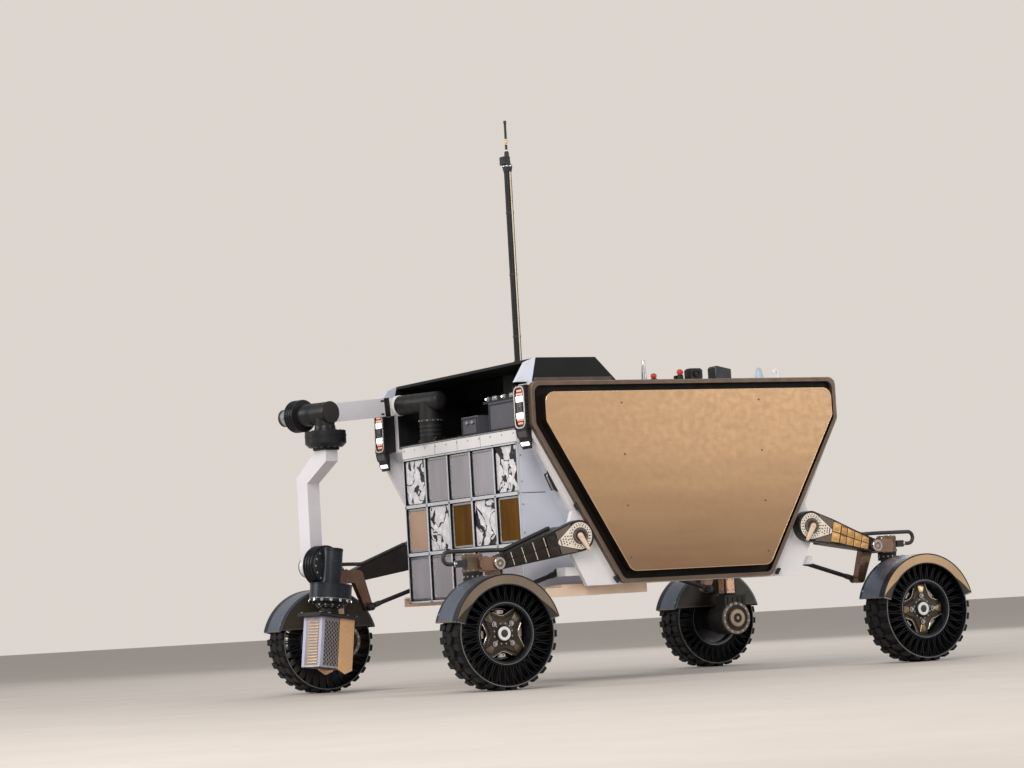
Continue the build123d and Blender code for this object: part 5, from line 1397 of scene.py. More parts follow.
def over_plate(share, across, lift):
    """A place over the leg's side, and over the hub's plate as far as that reaches."""
    place = on_leg(share, across, lift)
    if share < 0.422:
        place.y = max(place.y, 1.1008 + lift)
    return place


def waffle(bm, s0, s1, low, high):
    """A pressed tile with a raised rim and a flat, slightly lifted middle."""
    def ring(draw, lift):
        return [over_plate(s0 + (s1 - s0) * s, low + (high - low) * a, lift) for s,
                a in ((draw, draw), (1 - draw, draw), (1 - draw, 1 - draw), (draw, 1 - draw))]
    loft(bm, [[on_leg(s, a, 0.0) for s, a in ((s0, low), (s1, low), (s1, high), (s0, high))], ring(0, 0.0056),
              ring(0.05, 0.0068), ring(0.10, 0.0060), ring(0.16, 0.0064), ring(0.24, 0.0076)])


FRONT_TILES = (0.308, 0.440, 0.572, 0.704, 0.836, 0.900)
TILE_GAP = 0.007 / 0.530
REAR_TILES = (0.290, 0.412, 0.534, 0.656, 0.778, 0.900)


def tiles(edges):
    def build(bm):
        for s0, s1 in zip(edges, edges[1:]):
            for low, high in ((-0.80, -0.040), (0.040, 0.80)):
                waffle(bm, s0, s1 - TILE_GAP, low, high)
    return build


# Thin lines across the leg in the tiles' gaps: pale on the front legs, as painted glints, and dark joints on
# the rear legs.
def tile_lines(edges, lift):
    def build(bm):
        for edge in edges[1:-1]:
            s = edge - TILE_GAP / 2
            for a0, a1 in ((-0.84, -0.05), (0.05, 0.84)):
                ends = [over_plate(s + ds, a, lift) for ds,
                        a in ((-0.0026, a0), (-0.0026, a1), (0.0026, a1), (0.0026, a0))]
                prism(bm, ends, Y * -0.006, O)
    return build


@corners("web_grey")
def leg_webs(bm):
    """The grey-brown triangles of the leg's side beside the plate."""
    for sign in (-1, 1):
        ends = [on_leg(s, a * sign, 0.0070) for s, a in ((0.075,
                                                          0.95), (0.091, 0.80), (0.182, 0.53), (0.252, 0.32),
                                                         (0.284, 0.26), (0.284, 0.88), (0.180, 0.90))]
        prism(bm, ends, Y * -0.008, O)


@corners("black")
def leg_hub_ring(bm):
    """The dark ring round the hub's outer side, open towards the leg: a painted shadow line along the plate's
    edge.
    """
    heading = math.atan2(LEG_WAY.z, LEG_WAY.x)
    section = ((0.094, 1.0976), (0.094, 1.1036), (0.0915, 1.1061), (0.084, 1.1061), (0.084, 1.0976))
    rings = []
    for k in range(49):
        a = heading + math.radians(62 + 236 * k / 48)
        way = Vector((math.cos(a), 0, math.sin(a)))
        rings.append([at_pivot(y) + way * r for r, y in section])
    loft(bm, rings)


TEAR_LONG, TEAR_R, TEAR_TIP_R = 0.138, 0.0820, 0.0200
TEAR_TIP = at_pivot(0) + LEG_WAY * TEAR_LONG


@corners("cream_plate")
def leg_plate(bm):
    line = taper_line(PIVOT, TEAR_R, (TEAR_TIP.x, TEAR_TIP.z), TEAR_TIP_R)
    plate(bm, line, O, Z, X, 1.1045, 0.0010, 1.1030)


@corners("dark_gap")
def leg_plate_holes(bm):
    """The ring of holes in the plate, shown by dark discs let into it."""
    for radius, count, size in ((0.0725, 26, 0.0034), (0.0620, 20, 0.0044)):
        for k in range(count):
            a = TURN * k / count
            turned(bm, [(0.0, size), (0.0003, size), (0.0002, size * 0.8)],
                   (PIVOT[0] + radius * math.cos(a), 1.1046, PIVOT[1] + radius * math.sin(a)), Y, 14)
    for k in range(4):
        s = 0.084 + k * 0.018
        for across in ((-0.72, -0.24, 0.24, 0.72) if k % 2 else (-0.48, 0.0, 0.48)):
            half = TEAR_R - (TEAR_R - TEAR_TIP_R) * s / TEAR_LONG
            place = at_pivot(1.1046) + LEG_WAY * s + LEG_UP * (half * across)
            turned(bm, [(0.0, 0.0046), (0.0003, 0.0046), (0.0002, 0.0034)], place, Y, 14)


@corners("web_grey")
def leg_hub_disc(bm):
    turned(bm, [(0.0, 0.050), (0.006, 0.050), (0.009, 0.047), (0.009, 0.036), (0.0065, 0.034),
                (0.0065, 0.016)], at_pivot(1.1045), Y, 44)
    bolt_ring(bm, at_pivot(1.1136), ways(X, Z, 8), 0.0415, 0.0036, 0.0025, Y)


@corners("cream")
def leg_lever(bm):
    """The pale lever from the hub's middle down and inboard, with a boss at its end."""
    start = Vector((PIVOT[0] + 0.006, 1.1115, PIVOT[1]))
    end = Vector((0.7920, 1.1115, 0.8040))
    line = taper_line((start.x, start.z), 0.0185, (end.x, end.z), 0.0105, 12)
    plate(bm, line, O, Z, X, 1.1240, 0.0030, 1.1125)
    drum(bm, (end.x, 1.1235, end.z), (end.x, 1.1275, end.z), 0.0060, 0.001, 20)
    drum(bm, (start.x, 1.1235, start.z), (start.x, 1.1280, start.z), 0.0100, 0.001, 24)


# On the front legs the pale tile lines are painted glints.
for which, edges, mat, line_mat, lift in (("fl fr", FRONT_TILES, "waffle_dark", "cream_plate", 0.0084),
                                          ("rl rr", REAR_TILES, "waffle", "dark_gap", 0.0050)):
    corners(mat, which=which)(named("leg_tiles", tiles(edges)))
    corners(line_mat, which=which)(named("leg_tile_lines", tile_lines(edges, lift)))


# Knuckles: pin cap, yoke bolts, actuator jacket, hose

KINGPIN_Y, HOSE_Y = 0.960, 0.972


def on_kingpin(z):
    return Vector((AXLE_X, KINGPIN_Y, z))


@corners("chrome")
def pin_cap(bm):
    turned(bm, [(0.0, 0.0355), (0.001, 0.0365), (0.0110, 0.0365), (0.0130, 0.0345), (0.0130, 0.0235),
                (0.0110, 0.0225), (0.0110, 0.0110), (0.0135, 0.0095)], (PIN[0], 1.0440, PIN[1]), Y, 40)
    bolt_ring(bm, (PIN[0], 1.0569, PIN[1]), ways(X, Z, 6), 0.0255, 0.0024, 0.002, Y)


@corners("copper")
def yoke_plates(bm):
    """Raised pads on the yoke's outer side and top."""
    plate(bm, [(0.708, 1.428), (0.708, 1.488), (0.778, 1.488), (0.778, 1.428)], O, Z, X, 1.0355, 0.002,
          1.0305)
    block(bm, (1.456, 0.965, 0.7875), (0.060, 0.100, 0.006), 0.0015)


@corners("steel")
def yoke_bolts(bm):
    for x in (1.436, 1.480):
        for z in (0.717, 0.769):
            bolt(bm, (x, 1.0352, z), Y, 0.0062, 0.005)
    for x in (1.436, 1.478):
        for y in (0.925, 1.005):
            bolt(bm, (x, y, 0.7903), Z, 0.0062, 0.005)


@corners("tan_box")
def actuator(bm):
    turned(bm, [(0.0, 0.0605), (0.004, 0.0640), (0.018,
                                                 0.0640),
                (0.022, 0.0608), (0.078, 0.0608), (0.082, 0.0635), (0.096, 0.0635), (0.104, 0.0570),
                (0.1075, 0.0480), (0.1085, 0.020)], on_kingpin(0.7005), Z, 52)


@corners("steel")
def actuator_bolts(bm):
    bolt_ring(bm, on_kingpin(0.8050), ways(X, Y, 10), 0.053, 0.0042, 0.004, Z)
    bolt_ring(bm, on_kingpin(0.7115), ways(X, Y, 12, 0.13), 0.0632, 0.0036, 0.003)


@corners("charcoal")
def rod_collars(bm):
    a, b = Vector((0.869, 0.872, 0.676)), Vector((1.299, 0.872, 0.543))
    way = (b - a).normalized()
    for start, step in ((a + way * 0.032, 1), (b - way * 0.032, -1)):
        turned(bm, [(0, 0.0175), (0.002, 0.0195), (0.026, 0.0195), (0.030, 0.0150)], start, way * step, 6)
        turned(bm, [(0.030, 0.0165), (0.040, 0.0165), (0.042, 0.0145)], start, way * step, 24)
    for x, z in ((0.869, 0.676), (1.299, 0.543)):
        for sign in (-1, 1):
            bolt(bm, (x, 0.872 + sign * 0.0221, z), Y * sign, 0.0125, 0.009)


@corners("hose")
def hose_jacket(bm):
    """The thick sleeve over the hose, from the leg's top to the connector."""
    loop = AXLE_X + 0.200 - 0.0367
    points = [(0.985, 0.9418), (1.270, 0.8343), (1.287, 0.8285), (1.300, 0.8250), (1.316, 0.8240),
              (1.407, 0.8268)]
    points += [(loop + 0.0367 * math.sin(a), 0.790 + 0.037 * math.cos(a))
               for a in (math.pi * k / 16 for k in range(17))]
    points.append((1.642, 0.753))
    tube(bm, [(x, HOSE_Y, z) for x, z in points], 0.0122, 14)


@corners("steel")
def plug_collar(bm):
    turned(bm, [(0.0, 0.0145), (0.002, 0.0165), (0.014, 0.0165), (0.017, 0.0125), (0.022, 0.0110)],
           (1.6150, HOSE_Y, 0.7530), X, 20)
    for sy in (-1, 1):
        for sz in (-1, 1):
            screw(bm, (1.6151, HOSE_Y + sy * 0.0155, 0.7530 + sz * 0.0155), X, 0.0028, 0.0016)


# Steering column and drop gearcase


@corners("gear_dark", "steer_{}")
def gearcase_ribs(bm):
    """Raised bands and cooling ribs round the gearcase."""
    for y in (0.868, 0.900, 0.932, 0.964, 0.996, 1.028, 1.050):
        turned(bm, hoop(0.01, 0.1075, 0.1105, 0.106), hub_at(y - WHEEL_Y), Y, 64)


@corners("tan_line", "steer_{}")
def gearcase_edge(bm):
    turned(bm, [(0.0, 0.1090), (-0.003, 0.1125), (-0.009, 0.1120), (-0.012, 0.1085), (-0.012, 0.090),
                (0.0, 0.090), (0.0, 0.1085)], (AXLE_X, 0.8700, AXLE_Z), Y, 64)


@corners("steel", "steer_{}")
def gearcase_bolts(bm):
    bolt_ring(bm, (AXLE_X, 0.8582, AXLE_Z), ways(Z, X, 14), 0.0995, 0.0050, 0.004, -Y)


@corners("tan", "steer_{}")
def gearcase_cap(bm):
    turned(bm, [(0.0, 0.0605), (-0.002, 0.0625), (-0.014, 0.0625), (-0.0185, 0.058), (-0.0190, 0.034),
                (-0.0165, 0.031), (-0.0165, 0.012), (-0.0220, 0.0105)], (AXLE_X, 0.8625, AXLE_Z), Y, 48)


@corners("gear_dark", "steer_{}")
def gearcase_neck(bm):
    for x in (-0.060, -0.020, 0.020, 0.060):
        block(bm, (AXLE_X + x, 0.8605, 0.448), (0.009, 0.008, 0.066), 0.002)
    block(bm, (AXLE_X, 0.8605, 0.4795), (0.150, 0.007, 0.010), 0.002)


@corners("peach", "steer_{}")
def column_jacket(bm):
    """The copper block round the column, with chamfered corners and a raised face."""
    half = 0.0475
    flat = half - 0.016
    outline = [(half, flat), (flat, half), (-flat, half), (-half, flat), (-half, -flat), (-flat, -half),
               (flat, -half), (half, -flat)]
    plate(bm, outline, on_kingpin(0.5035), X, Y, 0.1220, 0.003)
    for sign in (-1, 1):
        block(bm, (AXLE_X + sign * 0.0482, KINGPIN_Y, 0.565), (0.004, 0.052, 0.086), 0.0015)
    block(bm, (AXLE_X, 0.9125, 0.565), (0.056, 0.005, 0.092), 0.0015)


@corners("steel", "steer_{}")
def column_bolts(bm):
    for sx in (-1, 1):
        for z in (0.530, 0.600):
            bolt(bm, (AXLE_X + sx * 0.0195, 0.9097, z), -Y, 0.0056, 0.0045)
            bolt(bm, (AXLE_X + sx * 0.0503, KINGPIN_Y, z), X * sx, 0.0056, 0.0045)


@corners("black", "steer_{}")
def column_collars(bm):
    turned(bm, [(0.0, 0.0565), (0.002, 0.0590), (0.012,
                                                 0.0590),
                (0.014, 0.0565), (0.020, 0.0565), (0.022, 0.0590), (0.032, 0.0590), (0.0335, 0.0565),
                (0.0335, 0.0445), (0.0, 0.0445), (0.0, 0.0565)], on_kingpin(0.4712), Z, 48)
    turned(bm, [(0.0, 0.0585), (0.002, 0.0605), (0.010,
                                                 0.0605),
                (0.012, 0.0585), (0.036, 0.0585), (0.038, 0.0605), (0.047, 0.0605), (0.0485, 0.0580),
                (0.0485, 0.0440), (0.0, 0.0440), (0.0, 0.0585)], on_kingpin(0.6505), Z, 48)


@corners("steel", "steer_{}")
def steering_bolts(bm):
    bolt_ring(bm, on_kingpin(0.6745), ways(X, Y, 12), 0.0583, 0.0040, 0.003)


@corners("copper_dark", "steer_{}")
def fender_bracket(bm):
    """The bracket from the column's jacket to the fender, with folded edges."""
    block(bm, (AXLE_X, 1.0560, 0.6070), (0.100, 0.096, 0.006), 0.0015)
    for sx in (-1, 1):
        block(bm, (AXLE_X + sx * 0.0475, 1.0560, 0.562), (0.006, 0.096, 0.088), 0.0015)
        for z in (0.535, 0.590):
            bolt(bm, (AXLE_X + sx * 0.030, 1.1035, z), Y, 0.0050, 0.002)


# Fenders: the pale lip, rolled edge, bolts and inner liner

FENDER = Vector((AXLE_X, 0, AXLE_Z - 0.010))
FENDER_SWEEP = math.radians(74.3)


def arc_band(bm, inner, outer, y0, y1, low=-FENDER_SWEEP, high=FENDER_SWEEP, steps=64, edge=0.0):
    """A curved band round the fender's centre, square in section."""
    section = ((inner, y0), (outer, y0), (outer, y1 - edge), (outer - edge, y1), (inner, y1))
    swing = [low + (high - low) * i / steps for i in range(steps + 1)]
    loft(bm, [[FENDER + out_at(a) * r + Y * y for r, y in section] for a in swing])


# The front lips are painted a darker brown and the rear lips a brighter gold: painted light and shade on one
# part.
@corners("fender_lip", "steer_{}", which="fl fr")
@corners("lip_gold", "steer_{}", which="rl rr")
def fender_lip(bm):
    arc_band(bm, 0.2925, 0.3530, 1.3615, 1.3668, edge=0.0012)


@corners("shield_dark", "steer_{}")
def fender_lip_shades(bm):
    """Painted shade: dark covers over the lip's inner part by its feet, so that the pale face tapers to
    points.
    """
    for sign in (-1, 1):
        outer, inner = [], []
        for k in range(17):
            a = math.radians(44 + 29.8 * k / 16)
            way = Vector((sign * math.sin(a), 0, math.cos(a)))
            outer.append(FENDER + way * (0.2935 + 0.0555 * (k / 16) ** 1.4 + 0.0004))
            inner.append(FENDER + way * 0.2926)
        ring = outer + inner[::-1]
        prism(bm, ring, Y * 1.3664, Y * 1.3672)


@corners("fender_band", "steer_{}")
def fender_roll(bm):
    """The rolled outer edge, from one foot of the fender to the other."""
    swing = [-FENDER_SWEEP + 2 * FENDER_SWEEP * i / 72 for i in range(73)]
    tube(bm, [FENDER + out_at(a) * 0.3525 + Y * 1.3650 for a in swing], 0.0036, 10)


@corners("fender_band", "steer_{}")
def fender_inner_edge(bm):
    arc_band(bm, 0.2912, 0.2980, 1.3600, 1.3674)


@corners("fender_band", "steer_{}")
def fender_band(bm):
    """The dark bands on the shell beside its outer and inner edges: painted shade of the rolled edges."""
    arc_band(bm, 0.3530, 0.3556, 1.3180, 1.3664, edge=0.0022)
    arc_band(bm, 0.3480, 0.3530, 1.3600, 1.3673)
    arc_band(bm, 0.3530, 0.3550, 1.1056, 1.1260)


@corners("olive", "steer_{}")
def fender_liner(bm):
    """The dark liner under the shell."""
    arc_band(bm, 0.3470, 0.3488, 1.112, 1.360)


@corners("shield_dark", "steer_{}")
def shield_skin(bm):
    """The dark face of the shield behind the wheel."""
    outline = []
    for k in range(41):
        a = math.radians(-72.4 + 144.8 * k / 40)
        outline.append((FENDER.z + 0.3440 * math.cos(a), FENDER.x + 0.3440 * math.sin(a)))
    plate(bm, outline, O, Z, X, 1.1058, 0.0006, 1.1046)


@corners("olive", "steer_{}")
def shield_trim(bm):
    block(bm, (AXLE_X, 1.1045, 0.424), (0.640, 0.004, 0.010), 0.001)


@corners("steel", "steer_{}")
def fender_bolts(bm):
    for k in range(5):
        a = -FENDER_SWEEP * 0.9 + 2 * FENDER_SWEEP * 0.9 * k / 4
        way = out_at(a)
        bolt(bm, FENDER + way * 0.3545 + Y * 1.127, way, 0.0050, 0.003)


@corners("fender_lip", "steer_{}")
def fender_feet(bm):
    """Folded stiffeners across the two feet of the shell."""
    for a in (-FENDER_SWEEP, FENDER_SWEEP):
        block(bm, FENDER + out_at(a) * 0.3515 + Y * 1.238, (0.010, 0.250, 0.008), 0.002,
              Matrix.Rotation(a, 3, "Y"))


# Arm: v runs along the upper link in plan, u across it, as in the solids

ARM_X, ARM_Y, ARM_HEADING = 1.021, -0.422, math.radians(16.0)
TOOL_V, TOOL_U, LINK_U = 0.700, -0.230, -0.358
SHOULDER_Z, ELBOW_Z, WRIST_Z = 1.833, 1.775, 0.812
V = Vector((math.cos(ARM_HEADING), math.sin(ARM_HEADING), 0))
U = Vector((-math.sin(ARM_HEADING), math.cos(ARM_HEADING), 0))
ARM_TURN = Matrix((V, U, Z)).transposed()


def on_arm(v, u, z):
    return Vector((ARM_X, ARM_Y, 0)) + V * v + U * u + Z * z


def on_tool(z):
    return on_arm(TOOL_V, TOOL_U, z)


def arm_block(bm, v, u, z, size, edge=0.002, pitch=0.0):
    """A box whose sides run along v, u and up, dipped about u by pitch."""
    block(bm, on_arm(v, u, z), size, edge, ARM_TURN @ Matrix.Rotation(pitch, 3, "Y"))


def swung(build):
    """The same build, swung out about the wrist's level axis as the solids are."""
    def made(bm):
        build(bm)
        bmesh.ops.rotate(bm, verts=bm.verts, cent=on_tool(WRIST_Z),
                         matrix=Matrix.Rotation(math.radians(-8.0), 3, U))
    return named(build.__name__, made)


def ring_of_bolts(bm, centre, axis, radius, count, head, height, start=0.0):
    axis = Vector(axis).normalized()
    side = axis.orthogonal().normalized()
    bolt_ring(bm, centre, ways(side, axis.cross(side), count, start), radius, head, height, axis)


dress("black", "arm_base", "shoulder", "elbow_barrel", "forearm", "tool_mount")
dress("disc_blue", "wrist")
dress("arm_white", "upper_link", "drop_link")
dress("scoop_grey", "scoop")
dress("blade_gold", "scoop_blades")
soften(0.003, "upper_link", "drop_link")
soften(0.002, "shoulder", "elbow_barrel", "forearm", "wrist", "tool_mount", "arm_base")
soften(0.0012, "scoop", "scoop_blades")


@single("steel")
def arm_base_bolts(bm):
    for a in range(8):
        t = math.radians(22.5 + 45 * a)
        place = on_arm(0.088 * math.cos(t), 0.088 * math.sin(t), 1.5946)
        if place.x < 1.045:
            bolt(bm, place, Z, 0.0068, 0.005)


@single("charcoal")
def arm_base_rings(bm):
    for z in (1.612, 1.640, 1.668):
        turned(bm, hoop(0.012, 0.0698, 0.0728, 0.068), on_arm(0, 0, z), Z, 48)


@single("charcoal", "arm_turret")
def turret_ring(bm):
    turned(bm, [(0, 0.0700), (0.002, 0.0745), (0.016, 0.0745), (0.019, 0.0705), (0.019, 0.068), (0, 0.068),
                (0, 0.0700)], on_arm(0, 0, 1.7015), Z, 48)


@single("steel", "arm_turret")
def turret_bolts(bm):
    ring_of_bolts(bm, on_arm(0, LINK_U + 0.0535, SHOULDER_Z), -U, 0.0615, 1, 0.002, 0.001)
    bolt_ring(bm, on_arm(0, 0, 1.7105), ways(V, U, 12), 0.0742, 0.0036, 0.003)


@single("black", "arm_turret")
def shoulder_dome(bm):
    """The domed cap over the turret, toward the rear end of the shoulder drum."""
    turned(bm, [(0.0, 0.0640), (0.006, 0.0635), (0.020, 0.0580), (0.031, 0.0460), (0.038, 0.0280),
                (0.040, 0.0080)], on_arm(0, 0.084, SHOULDER_Z), U, 44)


@single("black", "arm_turret")
def shoulder_rings(bm):
    for u in (-0.200, -0.120):
        turned(bm, hoop(0.014, 0.0635, 0.0655, 0.062), on_arm(0, u, SHOULDER_Z), U, 48)


@single("white_cap", "arm_turret")
def shoulder_band(bm):
    """The pale ring where the drum meets the beam."""
    turned(bm, [(0, 0.0635), (0.002, 0.0672), (0.030, 0.0672), (0.036, 0.0635), (0.036, 0.062), (0, 0.062),
                (0, 0.0635)], on_arm(0, LINK_U + 0.0535, SHOULDER_Z), U, 56)


# Upper link: a pale box beam between dark joint drums

PITCH = math.atan2(SHOULDER_Z - ELBOW_Z, TOOL_V)
BEAM_TURN = ARM_TURN @ Matrix.Rotation(PITCH, 3, "Y")
BARREL_U, BARREL_LONG = LINK_U - 0.052 - 0.014, 0.086
BARREL_END = BARREL_U - BARREL_LONG


def beam(v, u, lift):
    """A place along the beam: v from the shoulder, lift across it in height."""
    return on_arm(v, u, SHOULDER_Z + (ELBOW_Z - SHOULDER_Z) * v / TOOL_V + lift)


@single("white_cap", "arm_upper")
def link_ring(bm):
    turned(bm, hoop(0.016, 0.06, 0.064, 0.056, 0.002), on_arm(0, LINK_U - 0.0535, SHOULDER_Z), U, 48)


@single("black", "arm_upper")
def link_motor(bm):
    turned(bm, [(0.0, 0.0525), (-0.003, 0.0545), (-0.014,
                                                  0.0545),
                (-0.016, 0.0520), (-0.030, 0.0520), (-0.033, 0.049), (-0.0335, 0.020), (-0.031, 0.018),
                (-0.031, 0.004)], on_arm(0, LINK_U - 0.052, SHOULDER_Z), U, 44)
    ring_of_bolts(bm, on_arm(0, LINK_U - 0.0850, SHOULDER_Z), -U, 0.040, 8, 0.0038, 0.0028)


@single("black", "arm_upper")
def link_bolts(bm):
    for sign in (-1, 1):
        for v in (0.124, 0.138):
            for lift in (-0.043, 0.043):
                bolt(bm, beam(v, LINK_U + sign * 0.0522, lift), U * sign, 0.0052, 0.004)


@single("black", "arm_upper")
def root_sleeve(bm):
    """The black sleeve round the beam's shoulder end, open where the drum meets it."""
    turned(bm, [(-0.1035, 0.0585), (-0.1035, 0.0604), (0.0, 0.0604), (0.0, 0.0585), (-0.1035, 0.0585)],
           on_arm(0, LINK_U + 0.0515, SHOULDER_Z), U, 56)
    for sign in (-1, 1):
        block(bm, beam(0.056, LINK_U, sign * 0.0597), (0.112, 0.104, 0.0016), 0.0004, BEAM_TURN)
        v0, v1 = (0.0660, 0.112) if sign > 0 else (0.056, 0.112)
        place = beam((v0 + v1) / 2, LINK_U + sign * 0.0526, 0)
        block(bm, place, (v1 - v0, 0.0014, 0.121), 0.0004, BEAM_TURN)


@single("black_satin", "arm_upper")
def elbow_sleeve(bm):
    """The black sleeve that wraps the elbow end of the beam."""
    z = SHOULDER_Z + (ELBOW_Z - SHOULDER_Z) * 0.90
    for lift in (-1, 1):
        arm_block(bm, 0.632, LINK_U, z + lift * 0.0585, (0.060, 0.112, 0.007), 0.002, PITCH)
    for sign in (-1, 1):
        arm_block(bm, 0.632, LINK_U + sign * 0.0535, z, (0.060, 0.006, 0.122), 0.002, PITCH)


@single("black_satin", "arm_upper")
def elbow_hub_skin(bm):
    """The black skin round the beam's elbow hub."""
    turned(bm, [(-0.066, 0.0700), (-0.066, 0.0712), (0.0505, 0.0712), (0.0525, 0.0700), (0.0525, 0.020)],
           on_arm(TOOL_V, LINK_U, ELBOW_Z), U, 64)


@single("black_satin", "arm_upper")
def barrel_fins(bm):
    pitch = BARREL_LONG / 4
    for k in range(4):
        middle = BARREL_U - pitch * (k + 0.5)
        for step in (-1, 1):
            place = on_arm(TOOL_V, middle + step * 0.0038 - 0.0028, ELBOW_Z)
            turned(bm, hoop(0.0056, 0.1000, 0.1038, 0.097, 0.0006), place, U, 64)


@single("charcoal", "arm_upper")
def barrel_cap(bm):
    turned(bm, [(0.0, 0.0800), (-0.004, 0.0780), (-0.006, 0.060), (-0.010, 0.054), (-0.010, 0.050)],
           on_arm(TOOL_V, BARREL_END, ELBOW_Z), U, 52)
    ring_of_bolts(bm, on_arm(TOOL_V, BARREL_END - 0.0010, ELBOW_Z), -U, 0.0880, 12, 0.0044, 0.0035)


@single("silver", "arm_upper")
def barrel_end(bm):
    turned(bm, [(-0.004, 0.0525), (-0.004, 0.0600), (-0.020, 0.0560), (-0.022, 0.0545), (-0.090, 0.0545),
                (-0.092, 0.0535)], on_arm(TOOL_V, BARREL_END, ELBOW_Z), U, 56)


@single("charcoal", "arm_upper")
def barrel_rim(bm):
    """The dark rim and dished face at the barrel's far end."""
    turned(bm, [(-0.0900, 0.0535), (-0.0905, 0.0560),
                (-0.1080, 0.0560), (-0.1100, 0.0530), (-0.1100, 0.040), (-0.1085, 0.038), (-0.1085, 0.014),
                (-0.1100, 0.012)], on_arm(TOOL_V, BARREL_END, ELBOW_Z), U, 56)
    ring_of_bolts(bm, on_arm(TOOL_V, BARREL_END - 0.1100, ELBOW_Z), -U, 0.046, 8, 0.0034, 0.0024)


@single("black_satin", "arm_fore")
def elbow_rings(bm):
    turned(bm, hoop(0.01, 0.0692, 0.0716, 0.067), on_arm(TOOL_V, TOOL_U + 0.053, ELBOW_Z), U, 48)


@single("cap_brown", "arm_fore")
def elbow_plate(bm):
    turned(bm, [(-0.002, 0.0665), (0.0030, 0.0665), (0.0042, 0.0650), (0.0042, 0.010)],
           on_arm(TOOL_V, TOOL_U + 0.0650, ELBOW_Z), U, 48)


# Roll joint, drop link and wrist


@single("black_satin", "arm_fore")
def roll_rings(bm):
    turned(bm, hoop(0.018, 0.1295, 0.1322, 0.126, 0.002), on_tool(1.6200), Z, 64)
    turned(bm, [(0.0, 0.0800), (0.007, 0.0790), (0.012, 0.0680), (0.034, 0.0650), (0.036, 0.0615)],
           on_tool(1.6600), Z, 56)


@single("black_satin", "arm_fore")
def roll_bolts(bm):
    ring_of_bolts(bm, on_tool(1.6602), Z, 0.113, 14, 0.0055, 0.0045)


@single("black_satin", "arm_drop")
def drop_ring(bm):
    """The black cover of the link's flange, with its chamfered foot."""
    low, face = ELBOW_Z - 0.217, ELBOW_Z - 0.163 - 0.0004
    turned(bm, [(low - 0.0008, 0.058), (low - 0.0008, 0.1065), (low + 0.0236, 0.1310), (face, 0.1310),
                (face, 0.1299)], on_tool(0), Z, 64)


@single("steel", "arm_drop")
def drop_bolts(bm):
    ring_of_bolts(bm, on_tool(1.5578), -Z, 0.085, 12, 0.0052, 0.004)


@single("black_satin", "arm_drop")
def drop_collar(bm):
    arm_block(bm, TOOL_V, TOOL_U, 1.5480, (0.122, 0.122, 0.020), 0.004)


@single("black", "arm_drop")
def drop_end(bm):
    u1 = TOOL_U - 0.192 - 0.050
    turned(bm, [(0.0, 0.0662), (-0.003, 0.0680), (-0.008, 0.0660), (-0.0085, 0.046), (-0.006, 0.044),
                (-0.006, 0.010)], on_arm(TOOL_V, u1, WRIST_Z), U, 48)
    ring_of_bolts(bm, on_arm(TOOL_V, u1 - 0.0084, WRIST_Z), -U, 0.056, 10, 0.0042, 0.0032)


WRIST_U0, WRIST_LONG = TOOL_U + 0.050 - 0.192 + 0.0005, 0.096
WRIST_END = WRIST_U0 + WRIST_LONG


@single("black_satin", "arm_wrist")
@swung
def wrist_fins(bm):
    pitch = WRIST_LONG / 4
    for k in range(4):
        middle = WRIST_U0 + pitch * (k + 0.5)
        for step in (-1, 1):
            place = on_arm(TOOL_V, middle + step * 0.0031 - 0.0024, WRIST_Z)
            turned(bm, hoop(0.0048, 0.1260, 0.1298, 0.123, 0.0006), place, U, 64)


@single("charcoal", "arm_wrist")
@swung
def wrist_face(bm):
    turned(bm, [(0.0, 0.1150), (0.004, 0.1120), (0.0045, 0.082), (0.0015, 0.079), (0.0015, 0.052),
                (0.006, 0.050), (0.0065, 0.012)], on_arm(TOOL_V, WRIST_END, WRIST_Z), U, 60)


@single("steel", "arm_wrist")
@swung
def wrist_bolts(bm):
    ring_of_bolts(bm, on_arm(TOOL_V, WRIST_END + 0.0042, WRIST_Z), U, 0.098, 14, 0.0052, 0.004)
    ring_of_bolts(bm, on_arm(TOOL_V, WRIST_END + 0.0062, WRIST_Z), U, 0.036, 6, 0.0042, 0.003)


@single("black_satin", "arm_wrist")
@swung
def turner_cap(bm):
    turned(bm, [(0.0, 0.0625), (0.002, 0.0650), (0.014, 0.0650), (0.018, 0.0590), (0.0190, 0.030),
                (0.0160, 0.028), (0.0160, 0.004)], on_tool(0.8990), Z, 44)
    turned(bm, hoop(0.011, 0.0625, 0.0655, 0.06), on_tool(0.694), Z, 44)


@single("black_satin", "arm_wrist")
@swung
def turner_rings(bm):
    for z, r in ((0.5755, 0.1345), (0.6810, 0.1340)):
        turned(bm, hoop(0.009, 0.1310, r, 0.128), on_tool(z), Z, 64)


@single("chrome", "arm_wrist")
@swung
def turner_bolts(bm):
    bolt_ring(bm, on_tool(0.5830), ways(V, U, 14), 0.1338, 0.0075, 0.0045)


@single("steel", "arm_wrist")
@swung
def turner_band(bm):
    """The light line that shows above the disc's lower ring."""
    turned(bm, hoop(0.004, 0.1316, 0.1328, 0.129), on_tool(0.5925), Z, 64)


# Tool: bolted neck, mounting plate, scoop with perforated and louvred sides, blades

PLATE_Z = 0.475


@single("black_satin", "arm_tool")
@swung
def tool_flange(bm):
    turned(bm, hoop(0.012, 0.0865, 0.0885, 0.084, 0.002), on_tool(0.5500), Z, 56)
    turned(bm, [(0, 0.0580), (0.002, 0.0700), (0.010, 0.0700), (0.013, 0.0580), (0.013, 0.055), (0, 0.055),
                (0, 0.0580)], on_tool(0.4972), Z, 48)


